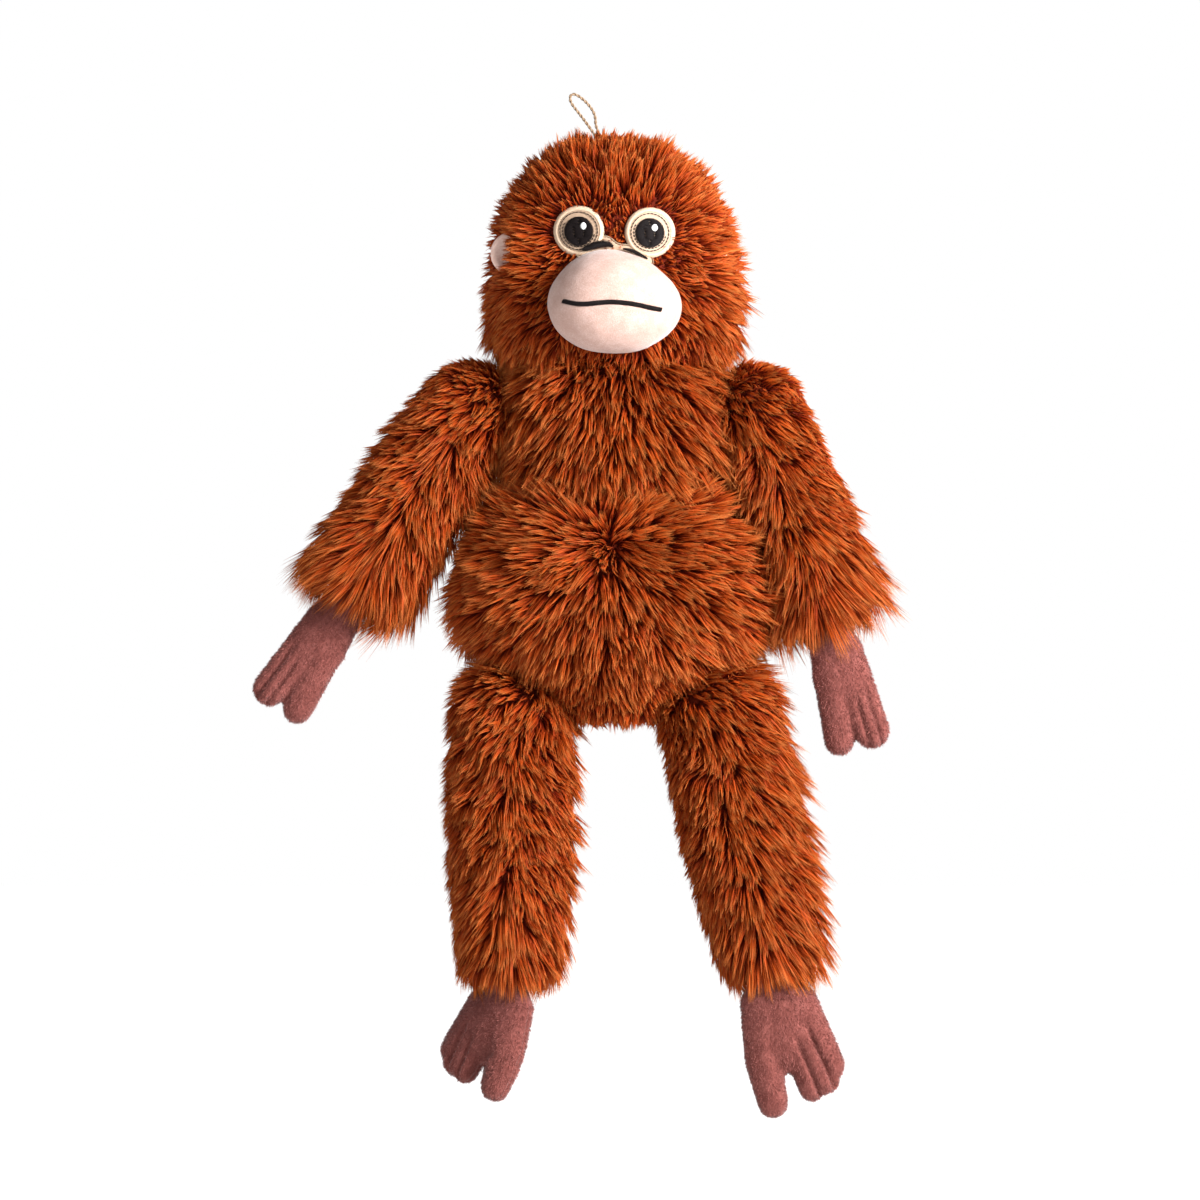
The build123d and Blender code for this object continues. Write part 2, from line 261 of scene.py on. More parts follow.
loop_line = nurbs_line("loop_line", [tuple(value * MM for value in point) for point in loop_route])
print("loop", round(line_length(loop_line) * 1000, 1), "mm,", len(loop_line), "points")


def frames_along(line):
    """A steady pair of side vectors at each point of a line, carried along without twisting."""
    tangents = [(line[min(k + 1, len(line) - 1)] - line[max(k - 1, 0)]).normalized()
                for k in range(len(line))]
    side = tangents[0].orthogonal().normalized()
    frames = []
    for tangent in tangents:
        side = (side - tangent * side.dot(tangent)).normalized()
        frames.append((side.copy(), tangent.cross(side)))
    return frames


def tube_rings(centres, frames, radius, sides):
    """Vertices and faces of a closed tube round a line of centres."""
    vertices = []
    for centre, (side, other) in zip(centres, frames):
        for step in range(sides):
            angle = 2 * math.pi * step / sides
            vertices.append(centre + (side * math.cos(angle) + other * math.sin(angle)) * radius)
    faces = []
    for ring in range(len(centres) - 1):
        for step in range(sides):
            after = (step + 1) % sides
            faces.append((ring * sides + step, ring * sides + after,
                          (ring + 1) * sides + after, (ring + 1) * sides + step))
    faces.append(tuple(reversed(range(sides))))
    faces.append(tuple(range((len(centres) - 1) * sides, len(centres) * sides)))
    return vertices, faces


def mesh_object(name, vertices, faces, material, smooth=True):
    mesh = bpy.data.meshes.new(name)
    mesh.from_pydata([tuple(vertex) for vertex in vertices], [], faces)
    mesh.validate()
    tidy = bmesh.new()
    tidy.from_mesh(mesh)
    bmesh.ops.recalc_face_normals(tidy, faces=tidy.faces)
    tidy.to_mesh(mesh)
    tidy.free()
    mesh.shade_smooth() if smooth else mesh.shade_flat()
    if material is not None:
        mesh.materials.append(material)
    piece = bpy.data.objects.new(name, mesh)
    bpy.context.scene.collection.objects.link(piece)
    return piece


def even_line(line, step):
    """The same line with points an even step apart."""
    total = line_length(line)
    count = max(int(total / step), 2)
    spaced = [line[0].copy()]
    walked = 0.0
    target = total / count
    for before, after in zip(line, line[1:]):
        span = (after - before).length
        while walked + span >= target * len(spaced) and len(spaced) < count:
            share = (target * len(spaced) - walked) / span
            spaced.append(before.lerp(after, share))
        walked += span
    spaced.append(line[-1].copy())
    return spaced


def twisted_twine(line, diameter, turn_length, plies):
    """Plies that wind round one line, with the line's own thickness in all."""
    spaced = even_line(line, diameter * 0.28)
    frames = frames_along(spaced)
    ply_radius = diameter * 0.27
    offset = diameter * 0.5 - ply_radius
    vertices, faces = [], []
    step = line_length(spaced) / (len(spaced) - 1)
    for ply in range(plies):
        centres = []
        for k, (centre, (side, other)) in enumerate(zip(spaced, frames)):
            angle = 2 * math.pi * (k * step / turn_length + ply / plies)
            centres.append(centre + (side * math.cos(angle) + other * math.sin(angle)) * offset)
        ring_vertices, ring_faces = tube_rings(centres, frames_along(centres), ply_radius, 7)
        base = len(vertices)
        vertices += ring_vertices
        faces += [tuple(index + base for index in face) for face in ring_faces]
    return vertices, faces


def twine_material():
    material, weave, shader = new_material("brown_twine", 0.78, sheen_weight=0.25)
    place = weave.node("ShaderNodeTexCoord", out=3)
    hairs = weave.noise(place, 2600.0, 4.0)
    patches = weave.noise(place, 260.0, 2.0)
    tone = weave.mix(hairs, colour(0.09, 0.045, 0.022), colour(0.34, 0.22, 0.13))
    tone = weave.mix(patches, tone, colour(0.23, 0.15, 0.085))
    dress(weave, shader, tone, hairs, 0.5, 0.2 * MM)
    return material


twine_vertices, twine_faces = twisted_twine(loop_line, TWINE, 5.2 * MM, 2)
twine = mesh_object("twine_loop", twine_vertices, twine_faces, twine_material())
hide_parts("hang_loop")
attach(twine, "head")
round(line_length(loop_line), 4)
print("twine", len(twine.data.polygons), "faces")

# %% [markdown]
# Under the pile every body is a stuffed cloth skin. Each skin is laid out as rings: flat ovals for
# head, chest and belly, circles round its own axis for a limb. The sizes come from the CAD covers, so
# the skins lie where the covers are.

# %% Sizes taken from the frame
def node_box(*names):
    """Lowest and highest corner of several nodes together."""
    boxes = [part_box(name) for name in names]
    low = Vector([min(box[0][axis] for box in boxes) for axis in range(3)])
    high = Vector([max(box[1][axis] for box in boxes) for axis in range(3)])
    return low, high


joint_place = {joint["name"]: Vector(joint["pos_m"]) for joint in frame["joints"] if "pos_m" in joint}
joint_axis = {joint["name"]: Vector(joint["axis"]) for joint in frame["joints"]}
head_low, head_high = node_box("head_front_cover", "head_back_cover")
chest_low, chest_high = node_box("chest_cover")
belly_low, belly_high = node_box("belly_cover")
muzzle_low, _ = node_box("muzzle_cover")
print("head", [round(value * 1000) for value in head_high - head_low], "mm")

# %% [markdown]
# An oval body is described by the share of its height from the top and the share of its full girth
# there. In between, a smooth curve through those points gives as many rings as the mesh needs.

# %% Oval bodies
head_outline = [(0.0, 0.16), (0.05, 0.46), (0.15, 0.70), (0.33, 0.91), (0.55, 1.0),
                (0.83, 0.98), (0.95, 0.90), (1.0, 0.78)]
chest_outline = [(0.0, 0.80), (0.15, 0.93), (0.45, 1.0), (0.80, 0.98), (1.0, 0.90)]
belly_outline = [(0.0, 0.66), (0.10, 0.82), (0.30, 0.97), (0.53, 1.0), (0.78, 0.76), (1.0, 0.26)]


def smooth_share(outline, share):
    """Girth at a share of the height, on a smooth curve through the outline's points."""
    shares = [point[0] for point in outline]
    girths = [point[1] for point in outline]
    k = min(max(int(np.searchsorted(shares, share)) - 1, 0), len(outline) - 2)
    width = shares[k + 1] - shares[k]
    t = (share - shares[k]) / width

    def slope(index):
        low, high = max(index - 1, 0), min(index + 1, len(outline) - 1)
        return (girths[high] - girths[low]) / (shares[high] - shares[low])

    return ((2 * t ** 3 - 3 * t ** 2 + 1) * girths[k] + (t ** 3 - 2 * t ** 2 + t) * width * slope(k)
            + (3 * t ** 2 - 2 * t ** 3) * girths[k + 1] + (t ** 3 - t ** 2) * width * slope(k + 1))


class Oval:
    """A stack of ellipses between two heights."""

    def __init__(self, top, bottom, half_width, half_depth, outline):
        self.top, self.bottom = top, bottom
        self.half_width, self.half_depth = half_width, half_depth
        self.outline = outline

    def girth(self, height):
        share = (self.top - height) / (self.top - self.bottom)
        return smooth_share(self.outline, min(max(share, 0.0), 1.0))

    def front(self, across, height):
        """y of the front of the body at a place."""
        girth = self.girth(height)
        inside = max(1.0 - (across / (self.half_width * girth)) ** 2, 0.02)
        return -self.half_depth * girth * math.sqrt(inside)

    def rings(self, count, sides):
        vertices = [Vector((0, 0, self.top))]
        for ring in range(count):
            share = 0.5 - 0.5 * math.cos(math.pi * (ring + 0.0) / (count - 1))
            height = self.top + (self.bottom - self.top) * share
            girth = self.girth(height)
            for step in range(sides):
                angle = 2 * math.pi * step / sides
                vertices.append(Vector((self.half_width * girth * math.sin(angle),
                                        -self.half_depth * girth * math.cos(angle), height)))
        vertices.append(Vector((0, 0, self.bottom)))
        return vertices, ring_faces(count, sides)


def ring_faces(count, sides):
    """Faces of rings of vertices, closed at both ends by a pole vertex."""
    last = 1 + count * sides
    faces = []
    for step in range(sides):
        after = (step + 1) % sides
        faces.append((0, 1 + after, 1 + step))
        for ring in range(count - 1):
            start = 1 + ring * sides
            faces.append((start + step, start + after, start + sides + after, start + sides + step))
        start = 1 + (count - 1) * sides
        faces.append((last, start + step, start + after))
    return faces


head_oval = Oval(head_high.z, head_low.z, (head_high.x - head_low.x) / 2,
                 (head_high.y - head_low.y) / 2, head_outline)
chest_oval = Oval(chest_high.z, chest_low.z, chest_high.x, -chest_low.y, chest_outline)
belly_oval = Oval(belly_high.z, belly_low.z, belly_high.x, -belly_low.y, belly_outline)
print("face stands at y", round(head_oval.front(0, -0.05) * 1000, 1), "mm")

# %% [markdown]
# A limb is a tube of circles round the line from its root joint to the next joint, with a round ball
# at the root, where it swings in the shoulder or hip.

# %% Limb tubes
# radius at the root, the middle and the cuff
LIMB_RADII = {"arm": (24 * MM, 25.5 * MM, 22.5 * MM), "leg": (27 * MM, 27.5 * MM, 21 * MM)}
# joint at the root, joint at the end, and how far before it the limb stops
LIMB_JOINTS = {"arm": ("shoulder", "wrist", 7 * MM), "leg": ("hip", "ankle", 8.5 * MM)}
MIDDLE_SHARE = 0.45
BALL_SHARE = 0.25


class Limb:
    def __init__(self, kind, side):
        near, far, stand_off = LIMB_JOINTS[kind]
        self.root = joint_place[f"{near}_{side}"]
        way = joint_place[f"{far}_{side}"] - self.root
        self.length = way.length - stand_off
        self.way = way.normalized()
        self.radii = LIMB_RADII[kind]
        self.across = Vector((0, -1, 0)).cross(self.way).normalized()
        self.forward = Vector((0, -1, 0))

    def radius(self, along):
        root, middle, cuff = self.radii
        if along <= 0:
            return math.sqrt(max(root ** 2 - along ** 2, 0.0))
        share = along / self.length
        if share < MIDDLE_SHARE:
            t = share / MIDDLE_SHARE
            return root + (middle - root) * (3 * t ** 2 - 2 * t ** 3)
        t = (share - MIDDLE_SHARE) / (1 - MIDDLE_SHARE)
        return middle + (cuff - middle) * t ** 1.6

    def rings(self, count, sides):
        root = self.radii[0]
        vertices = [self.root - self.way * root]
        for ring in range(count):
            share = ring / (count - 1)
            if ring < count * BALL_SHARE:
                angle = math.pi / 2 * (ring + 0.6) / (count * BALL_SHARE)
                along = -root * math.cos(angle)
            else:
                along = self.length * (share - BALL_SHARE) / (1 - BALL_SHARE)
            for step in range(sides):
                turn = 2 * math.pi * step / sides
                out = self.across * math.sin(turn) + self.forward * math.cos(turn)
                vertices.append(self.root + self.way * along + out * self.radius(along))
        vertices.append(self.root + self.way * self.length)
        return vertices, ring_faces(count, sides)


limbs = {(kind, side): Limb(kind, side) for kind in LIMB_JOINTS for side in ("left", "right")}
print("limbs", {key: round(limb.length * 1000) for key, limb in limbs.items()})

# %% [markdown]
# The backing cloth is a knitted ground that shows only between the tufts. Its near-black colour is
# partly its own dark rust and partly painted shade, the shade that falls between the tufts. It still
# has its knit and its unevenness, because a parting in the pile lets it show.

# %% Backing cloth
def backing_material():
    material, weave, shader = new_material("rust_ground", 0.85, specular_ior_level=0.05)
    place = weave.node("ShaderNodeTexCoord", out=3)
    knit = weave.node("ShaderNodeTexVoronoi", sockets={"Vector": place, "Scale": 900.0})
    # Near-black to dark rust: the cloth's own colour darkened with painted shade from the pile over it.
    tone = weave.mix(weave.noise(place, 60.0, 3.0), colour(0.030, 0.003, 0.002), colour(0.10, 0.010, 0.004))
    tone = weave.mix(knit * 0.6, tone, colour(0.16, 0.018, 0.006))
    dress(weave, shader, tone, knit, 0.4, 0.4 * MM)
    return material


rust_ground = backing_material()


def stuffed(piece, body, fill, slot, *nodes):
    """A stuffed piece stands for its CAD nodes and rides on a body. Its slot is not used."""
    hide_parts(*nodes)
    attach(piece, body)
    return piece


def skin_piece(name, shape, count, sides):
    vertices, faces = shape.rings(count, sides)
    return mesh_object(name, vertices, faces, rust_ground)


skins = {
    "head": skin_piece("head_skin", head_oval, 34, 56),
    "chest": skin_piece("chest_skin", chest_oval, 22, 56),
    "belly": skin_piece("belly_skin", belly_oval, 32, 64),
}
for (kind, side), limb in limbs.items():
    skins[f"{kind}_{side}"] = skin_piece(f"{kind}_skin_{side}", limb, 34, 40)
print("skins", {name: len(piece.data.vertices) for name, piece in skins.items()})

# %% [markdown]
# Toy pile is combed, and the way it lies makes the animal: out from the bridge of the nose over the
# face, down the chest, round a whorl on the belly, and down and out along the limbs. Each skin keeps
# its comb as a vector at every vertex, with the pile's length and density beside it.

# %% Which way the pile lies
BRIDGE = Vector((0.0, -0.05, -0.060))
WHORL = Vector((-0.004, -0.05, -0.222))
EYE_HEIGHT = -0.0485
EYES = [Vector((-0.020, 0.0, EYE_HEIGHT)), Vector((0.020, 0.0, EYE_HEIGHT))]
EAR_SPOT = Vector((0.0, -0.018, -0.061))


def fade(low, high, value):
    """0 below low, 1 above high and smooth between."""
    t = min(max((value - low) / (high - low), 0.0), 1.0)
    return t * t * (3 - 2 * t)


def along_surface(way, normal):
    flat = way - normal * way.dot(normal)
    return flat.normalized() if flat.length > 1e-6 else Vector((0, 0, 0))


def comb_head(place, normal):
    behind = fade(-0.005, 0.035, place.y)
    outwards = along_surface(place - BRIDGE, normal)
    down = along_surface(Vector((0, 0.5 * max(normal.z, 0.0), -1)), normal)
    way = outwards * (1 - behind) + down * behind
    cheek = fade(-0.075, -0.105, place.z) * (1 - behind)
    way = way + down * cheek * 0.9
    length = 1.0
    cover = 1.0
    for eye in EYES:
        gap = Vector((place.x - eye.x, 0, place.z - eye.z))
        if place.y < 0:
            near = 1 - fade(0.017, 0.030, gap.length)
            way = way + along_surface(gap, normal) * near * 1.6
            length *= 1 - 0.45 * near
            cover *= fade(0.0135, 0.0155, gap.length)
    if place.y < 0:
        muzzle_gap = math.hypot(place.x / 0.0385, (place.z + 0.088) / 0.0295)
        cover *= fade(0.80, 0.92, muzzle_gap)
        length *= 0.62 + 0.38 * fade(1.0, 1.5, muzzle_gap)
        brow = fade(-0.062, -0.05, place.z) * (1 - fade(0.012, 0.02, abs(place.x)))
        length *= 1 - 0.25 * brow
    ear_gap = math.hypot(place.y - EAR_SPOT.y, place.z - EAR_SPOT.z)
    length *= 1 - 0.5 * (1 - fade(0.010, 0.018, ear_gap)) * (1 if place.x < -0.045 else 0)
    ear_place = math.hypot(place.x + 61 * MM, place.z + 61 * MM)
    if -0.035 < place.y < -0.012:
        cover *= fade(7 * MM, 10 * MM, ear_place)
    outline = (1 - fade(0.3, 0.9, abs(normal.y))) * fade(-0.10, -0.06, place.z)
    length *= 1 - (0.40 if place.x > 0 else 0.28) * outline
    if normal.z < -0.75:
        cover = 0.0
    return way.normalized() * 0.9, length, cover


def comb_chest(place, normal):
    way = along_surface(Vector((0.5 * np.sign(place.x) * min(abs(place.x) / 0.03, 1), 0, -1)), normal)
    cover = 0.0 if normal.z > 0.85 or normal.z < -0.85 else 1.0
    return way, 1.0, cover


def comb_belly(place, normal):
    behind = fade(-0.01, 0.03, place.y)
    outwards = along_surface(place - WHORL, normal)
    down = along_surface(Vector((0, 0, -1)), normal)
    way = (outwards + down * 0.15) * (1 - behind) + down * behind
    near = fade(0.0, 16 * MM, (place - WHORL).length)
    strength = near * (1 - behind) + behind
    hips = fade(0.6, 0.95, abs(normal.x)) * fade(-0.235, -0.27, place.z)
    length = (1 + 0.4 * hips) * (1 - 0.5 * (1 - fade(-0.8, -0.4, normal.z)))
    cover = 0.0 if normal.z > 0.85 else 1.0 + 0.9 * (1 - strength)
    return way.normalized() * (0.25 + 0.7 * strength), length, cover


def comb_limb(limb, spread, flat, slim, bow, cuff_length):
    def comb(place, normal):
        gap = place - limb.root
        along = gap.dot(limb.way)
        sideways = normal.dot(limb.across)
        lateral = limb.across * math.copysign(min(abs(sideways) * 3, 1.0), sideways)
        over = 1 - fade(-4 * MM, 26 * MM, along)
        outside = Vector((math.copysign(1.0, limb.root.x), 0, -0.5))
        way = along_surface(limb.way + lateral * spread * (1 - over) + outside * over * 1.5, normal)
        cover = 0.0 if along > limb.length - 0.5 * MM and abs(normal.dot(limb.way)) > 0.8 else 1.0
        cuff = fade(limb.length * 0.6, limb.length, along)
        outer = normal.x * math.copysign(1.0, limb.root.x)
        length = (0.90 + cuff_length * cuff) * (1 - flat * over * max(normal.z, 0.0)) * (1 + bow * outer)
        length *= 1 - slim * (1 - fade(20 * MM, 80 * MM, along)) * max(outer, 0.0)
        return way * (1 + 0.8 * cuff), length, cover
    return comb


def set_comb(piece, comb):
    """Writes comb, length and cover at every vertex of a skin."""
    mesh = piece.data
    ways, lengths, covers = [], [], []
    for vertex in mesh.vertices:
        way, length, cover = comb(vertex.co, vertex.normal)
        ways += list(way)
        lengths.append(length * (1 - 0.45 * fade(0.2, 0.9, vertex.normal.y)))
        covers.append(cover)
    mesh.attributes.new("comb", "FLOAT_VECTOR", "POINT").data.foreach_set("vector", ways)
    mesh.attributes.new("pile", "FLOAT", "POINT").data.foreach_set("value", lengths)
    mesh.attributes.new("cover", "FLOAT", "POINT").data.foreach_set("value", covers)


set_comb(skins["head"], comb_head)
set_comb(skins["chest"], comb_chest)
set_comb(skins["belly"], comb_belly)
# how wide the pile spreads, how flat it lies on the root and on the shoulder's outer side, how much
# longer it is all along the outer side, and how much longer at the cuff
LIMB_COMB = {("arm", "left"): (0.55, 0.62, 0.5, 0.0, 0.30),
             ("arm", "right"): (0.55, 0.5, 0.1, 0.06, 0.36),
             ("leg", "left"): (0.45, 0.1, 0.0, 0.22, -0.04),
             ("leg", "right"): (0.45, 0.1, 0.0, 0.02, -0.12)}
for (kind, side), limb in limbs.items():
    set_comb(skins[f"{kind}_{side}"], comb_limb(limb, *LIMB_COMB[kind, side]))
print("combed", len(skins), "skins")

# %% [markdown]
# The pile is tens of thousands of narrow tapered blades. Geometry Nodes scatter roots over a skin,
# place one small strip of mesh on each, and then bend every strip: it rises from the cloth, turns the
# way the comb says, and leans towards the middle of its tuft, as real pile does.

# %% Geometry Nodes tree for the pile
# how far a lock, a tuft and a single strand turn away from the comb
LOCK_TURN, TUFT_TURN, STRAY_TURN = 0.42, 0.55, 0.75
# how far tips lean to the middle of their lock and of their tuft, as a share of the way there
LOCK_PULL, TUFT_PULL = 0.74, 0.34
TAPER = 0.94


def tree_inputs(tree, sockets):
    tree.interface.new_socket("Geometry", in_out="INPUT", socket_type="NodeSocketGeometry")
    tree.interface.new_socket("Geometry", in_out="OUTPUT", socket_type="NodeSocketGeometry")
    for name, kind in sockets:
        tree.interface.new_socket(name, in_out="INPUT", socket_type=f"NodeSocket{kind}")
    return tree.nodes.new("NodeGroupInput"), tree.nodes.new("NodeGroupOutput")


def build_pile_tree():
    tree = bpy.data.node_groups.new("pile", "GeometryNodeTree")
    given, result = tree_inputs(tree, [("Density", "Float"), ("Length", "Float"), ("Width", "Float"),
                                       ("Rise", "Float"), ("Reach", "Float"), ("Tuft", "Float"),
                                       ("Lock", "Float"), ("Steps", "Int"), ("Seed", "Int"),
                                       ("Material", "Material")])
    weave = Weaver(tree)

    def given_value(name):
        return Flow(tree, given.outputs[name])

    def chance(low, high, offset):
        node = tree.nodes.new("FunctionNodeRandomValue")
        plug(tree, node.inputs[2], low)
        plug(tree, node.inputs[3], high)
        plug(tree, node.inputs["Seed"], given_value("Seed") + offset)
        return Flow(tree, node.outputs[1])

    roots = tree.nodes.new("GeometryNodeDistributePointsOnFaces")
    plug(tree, roots.inputs["Mesh"], given_value("Geometry"))
    plug(tree, roots.inputs["Density"], given_value("Density") * weave.named("cover"))
    plug(tree, roots.inputs["Seed"], given_value("Seed"))
    points = Flow(tree, roots.outputs["Points"])
    normal = Flow(tree, roots.outputs["Normal"])
    place = weave.node("GeometryNodeInputPosition")

    def tuft(size):
        cell = tree.nodes.new("ShaderNodeTexVoronoi")
        plug(tree, cell.inputs["Vector"], place)
        plug(tree, cell.inputs["Scale"], size.maths("POWER", -1.0))
        centre = Flow(tree, cell.outputs["Position"])
        gap = weave.vector("SUBTRACT", centre, place)
        lift = weave.vector("SCALE", normal, scale=weave.vector("DOT_PRODUCT", gap, normal, out=1))
        return weave.vector("SUBTRACT", gap, lift), Flow(tree, cell.outputs["Color"])

    tuft_gap, tuft_chance = tuft(given_value("Tuft"))
    lock_gap, lock_chance = tuft(given_value("Lock"))
    lock_random, tuft_random = weave.parts(lock_chance)[0], weave.parts(tuft_chance)[0]

    length = (given_value("Length") * weave.named("pile") * (0.80 + 0.28 * lock_random + 0.16 * tuft_random)
              * chance(0.80, 1.10, 1))
    lock_way, tuft_way, stray = [weave.vector("SUBTRACT", chances, (0.5, 0.5, 0.5)) for chances in
                                 (lock_chance, tuft_chance, weave.noise(place, 150.0, 1.0, out=1))]
    way = weave.add(weave.named("comb", "FLOAT_VECTOR"), (lock_way, LOCK_TURN), (tuft_way, TUFT_TURN),
                    (stray, STRAY_TURN))
    rise = weave.vector("SCALE", normal, scale=length * given_value("Rise"))
    reach = weave.vector("SCALE", way, scale=length * given_value("Reach"))
    gather = weave.add(weave.vector("SCALE", lock_gap, scale=LOCK_PULL), (tuft_gap, TUFT_PULL))
    middle = weave.add(weave.vector("SCALE", rise, scale=0.80), (reach, 0.22), (gather, 0.35))
    tip = weave.vector("ADD", weave.vector("ADD", rise, reach), gather)

    turn = chance(0.0, math.pi, 2)
    upright = weave.vector("NORMALIZE", tip)
    flat = weave.vector("NORMALIZE", weave.vector("CROSS_PRODUCT", upright, normal))
    other = weave.vector("CROSS_PRODUCT", upright, flat)
    side = weave.add(weave.vector("SCALE", flat, scale=turn.maths("COSINE")), (other, turn.maths("SINE")))

    tone = (0.30 * weave.noise(place, 28.0, 2.0) + 0.26 * lock_random + 0.10 * tuft_random
            + chance(0.02, 0.36, 3))
    tone = tone.maths("MAXIMUM", 0.01).maths("MINIMUM", 0.985)

    for name, value, kind in (("root", place, "FLOAT_VECTOR"), ("middle", middle, "FLOAT_VECTOR"),
                              ("tip", tip, "FLOAT_VECTOR"), ("side", side, "FLOAT_VECTOR"),
                              ("tone", tone, "FLOAT")):
        points = weave.keep(points, name, value, kind)

    strip = weave.node("GeometryNodeMeshGrid", sockets={"Size X": 1.0, "Size Y": 1.0,
                                                        "Vertices X": 2,
                                                        "Vertices Y": given_value("Steps") + 1})
    across, up, _ = weave.parts(weave.node("GeometryNodeInputPosition"))
    strip = weave.keep(strip, "across", across)
    strip = weave.keep(strip, "along", up + 0.5)

    blades = weave.node("GeometryNodeInstanceOnPoints", sockets={"Points": points, "Instance": strip})
    blades = weave.node("GeometryNodeRealizeInstances", sockets={"Geometry": blades})

    t, across = weave.named("along"), weave.named("across")
    root, middle, tip, side = [weave.named(name, "FLOAT_VECTOR")
                               for name in ("root", "middle", "tip", "side")]
    width = given_value("Width") * across * (1.0 - t * t * TAPER)
    bent = weave.add(root, (middle, 2.0 * t * (1.0 - t)), (tip, t * t), (side, width))
    blades = weave.node("GeometryNodeSetPosition", sockets={"Geometry": blades, "Position": bent})

    chart = tree.nodes.new("ShaderNodeCombineXYZ")
    plug(tree, chart.inputs[0], weave.named("tone") + across * 0.001)
    plug(tree, chart.inputs[1], t)
    blades = weave.keep(blades, "OFBake", Flow(tree, chart.outputs[0]), "FLOAT2", "CORNER")
    blades = weave.node("GeometryNodeSetMaterial",
                        sockets={"Geometry": blades, "Material": given_value("Material")})
    tree.links.new(blades.socket, result.inputs[0])
    return tree


pile_tree = build_pile_tree()
print("pile tree", len(pile_tree.nodes), "nodes")

# %% [markdown]
# Each strand is darkest at its root, rust in the middle and pale at the tip, and no two tufts took
# the dye alike. The near-black roots are painted shade, the shade deep in the pile, and the pale
# pinkish tips are partly a painted highlight, over the pile's own rust. The colour reads the strip's
# own chart: one way is the strand's tone, the other runs from root to tip.

# %% Pile colour
def strand_chart(weave):
    """A strand's tone, and the place along it."""
    return weave.parts(weave.node("ShaderNodeUVMap", {"uv_map": "OFBake"}))[:2]


def pile_material():
    material, weave, shader = new_material("rust_pile", 0.55, specular_ior_level=0.05)
    tone, along = strand_chart(weave)
    # Both ramps run from a near-black root, which is painted shade, to a pale tip that is partly a painted
    # highlight.
    deep = weave.node("ShaderNodeValToRGB", {"stops": [(0.0, colour(0.018, 0.0015, 0.001)),
                                                       (0.35, colour(0.090, 0.0048, 0.0016)),
                                                       (0.75, colour(0.20, 0.017, 0.004)),
                                                       (1.0, colour(0.31, 0.060, 0.014))]}, {"Fac": along})
    bright = weave.node("ShaderNodeValToRGB", {"stops": [(0.0, colour(0.045, 0.004, 0.002)),
                                                         (0.30, colour(0.21, 0.0155, 0.0024)),
                                                         (0.70, colour(0.43, 0.072, 0.0065)),
                                                         (1.0, colour(0.52, 0.185, 0.046))]}, {"Fac": along})
    plug(weave.tree, shader.inputs["Base Color"], weave.mix(tone, deep, bright))
    return material


rust_pile = pile_material()


def set_inputs(modifier, values):
    """Sets a Geometry Nodes modifier's inputs by the identifiers of their sockets."""
    sockets = {item.name: item.identifier for item in modifier.node_group.interface.items_tree
               if item.item_type == "SOCKET" and item.in_out == "INPUT"}
    for name, value in values.items():
        modifier[sockets[name]] = value


# what the trees keep on a mesh for their own use
TREE_ONLY = ("root", "middle", "tip", "side", "tone", "across", "along", "comb", "pile", "cover",
             "uv_map", "UVMap", "start", "reach", "lift", "up", "turn")


def baked_copy(name, piece, tree, values):
    """The evaluated result of a tree on a piece, as a plain mesh object."""
    modifier = piece.modifiers.new("made", "NODES")
    modifier.node_group = tree
    set_inputs(modifier, values)
    piece.data.update()
    bpy.context.view_layer.update()
    shown = piece.evaluated_get(bpy.context.evaluated_depsgraph_get())
    mesh = bpy.data.meshes.new_from_object(shown)
    piece.modifiers.remove(modifier)
    for attribute in [item.name for item in mesh.attributes if item.name in TREE_ONLY]:
        mesh.attributes.remove(mesh.attributes[attribute])
    mesh.name = name
    made = bpy.data.objects.new(name, mesh)
    bpy.context.scene.collection.objects.link(made)
    return made

# %% [markdown]
# One piece of pile has at most about 42,000 blades, so head and belly carry two pieces each, grown
# with their own seeds over the front and the back of the skin.

# %% Grow the pile
DENSITY = 1.12
PILE = {"Length": 19.0 * MM, "Width": 0.68 * MM, "Rise": 0.58, "Reach": 0.62, "Tuft": 10 * MM,
        "Lock": 3.6 * MM, "Steps": 2, "Material": rust_pile}


def grow(name, skin, body, per_square_mm, seed, chosen=None):
    """Pile on the chosen vertices of a skin, as one plain mesh."""
    mesh = skin.data
    full = [item.value for item in mesh.attributes["cover"].data]
    if chosen is not None:
        part = [value if chosen(vertex.co) else 0.0 for value, vertex in zip(full, mesh.vertices)]
        mesh.attributes["cover"].data.foreach_set("value", part)
    values = dict(PILE, Density=per_square_mm * 1e6 * DENSITY, Seed=seed)
    piece = baked_copy(name, skin, pile_tree, values)
    mesh.attributes["cover"].data.foreach_set("value", full)
    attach(piece, body)
    print(name, len(piece.data.polygons) // 2, "blades")
    return piece


grow("head_pile_face", skins["head"], "head", 1.45, 11, lambda place: place.y < 0)
grow("head_pile_back", skins["head"], "head", 1.25, 12, lambda place: place.y >= 0)
grow("chest_pile", skins["chest"], "torso", 1.2, 21)
grow("belly_pile_front", skins["belly"], "torso", 1.4, 22, lambda place: place.y < 0)
grow("belly_pile_back", skins["belly"], "torso", 1.2, 23, lambda place: place.y >= 0)
for number, (kind, side) in enumerate(limbs):
    grow(f"{kind}_pile_{side}", skins[f"{kind}_{side}"], f"{kind}_{side}", 1.3, 31 + number)

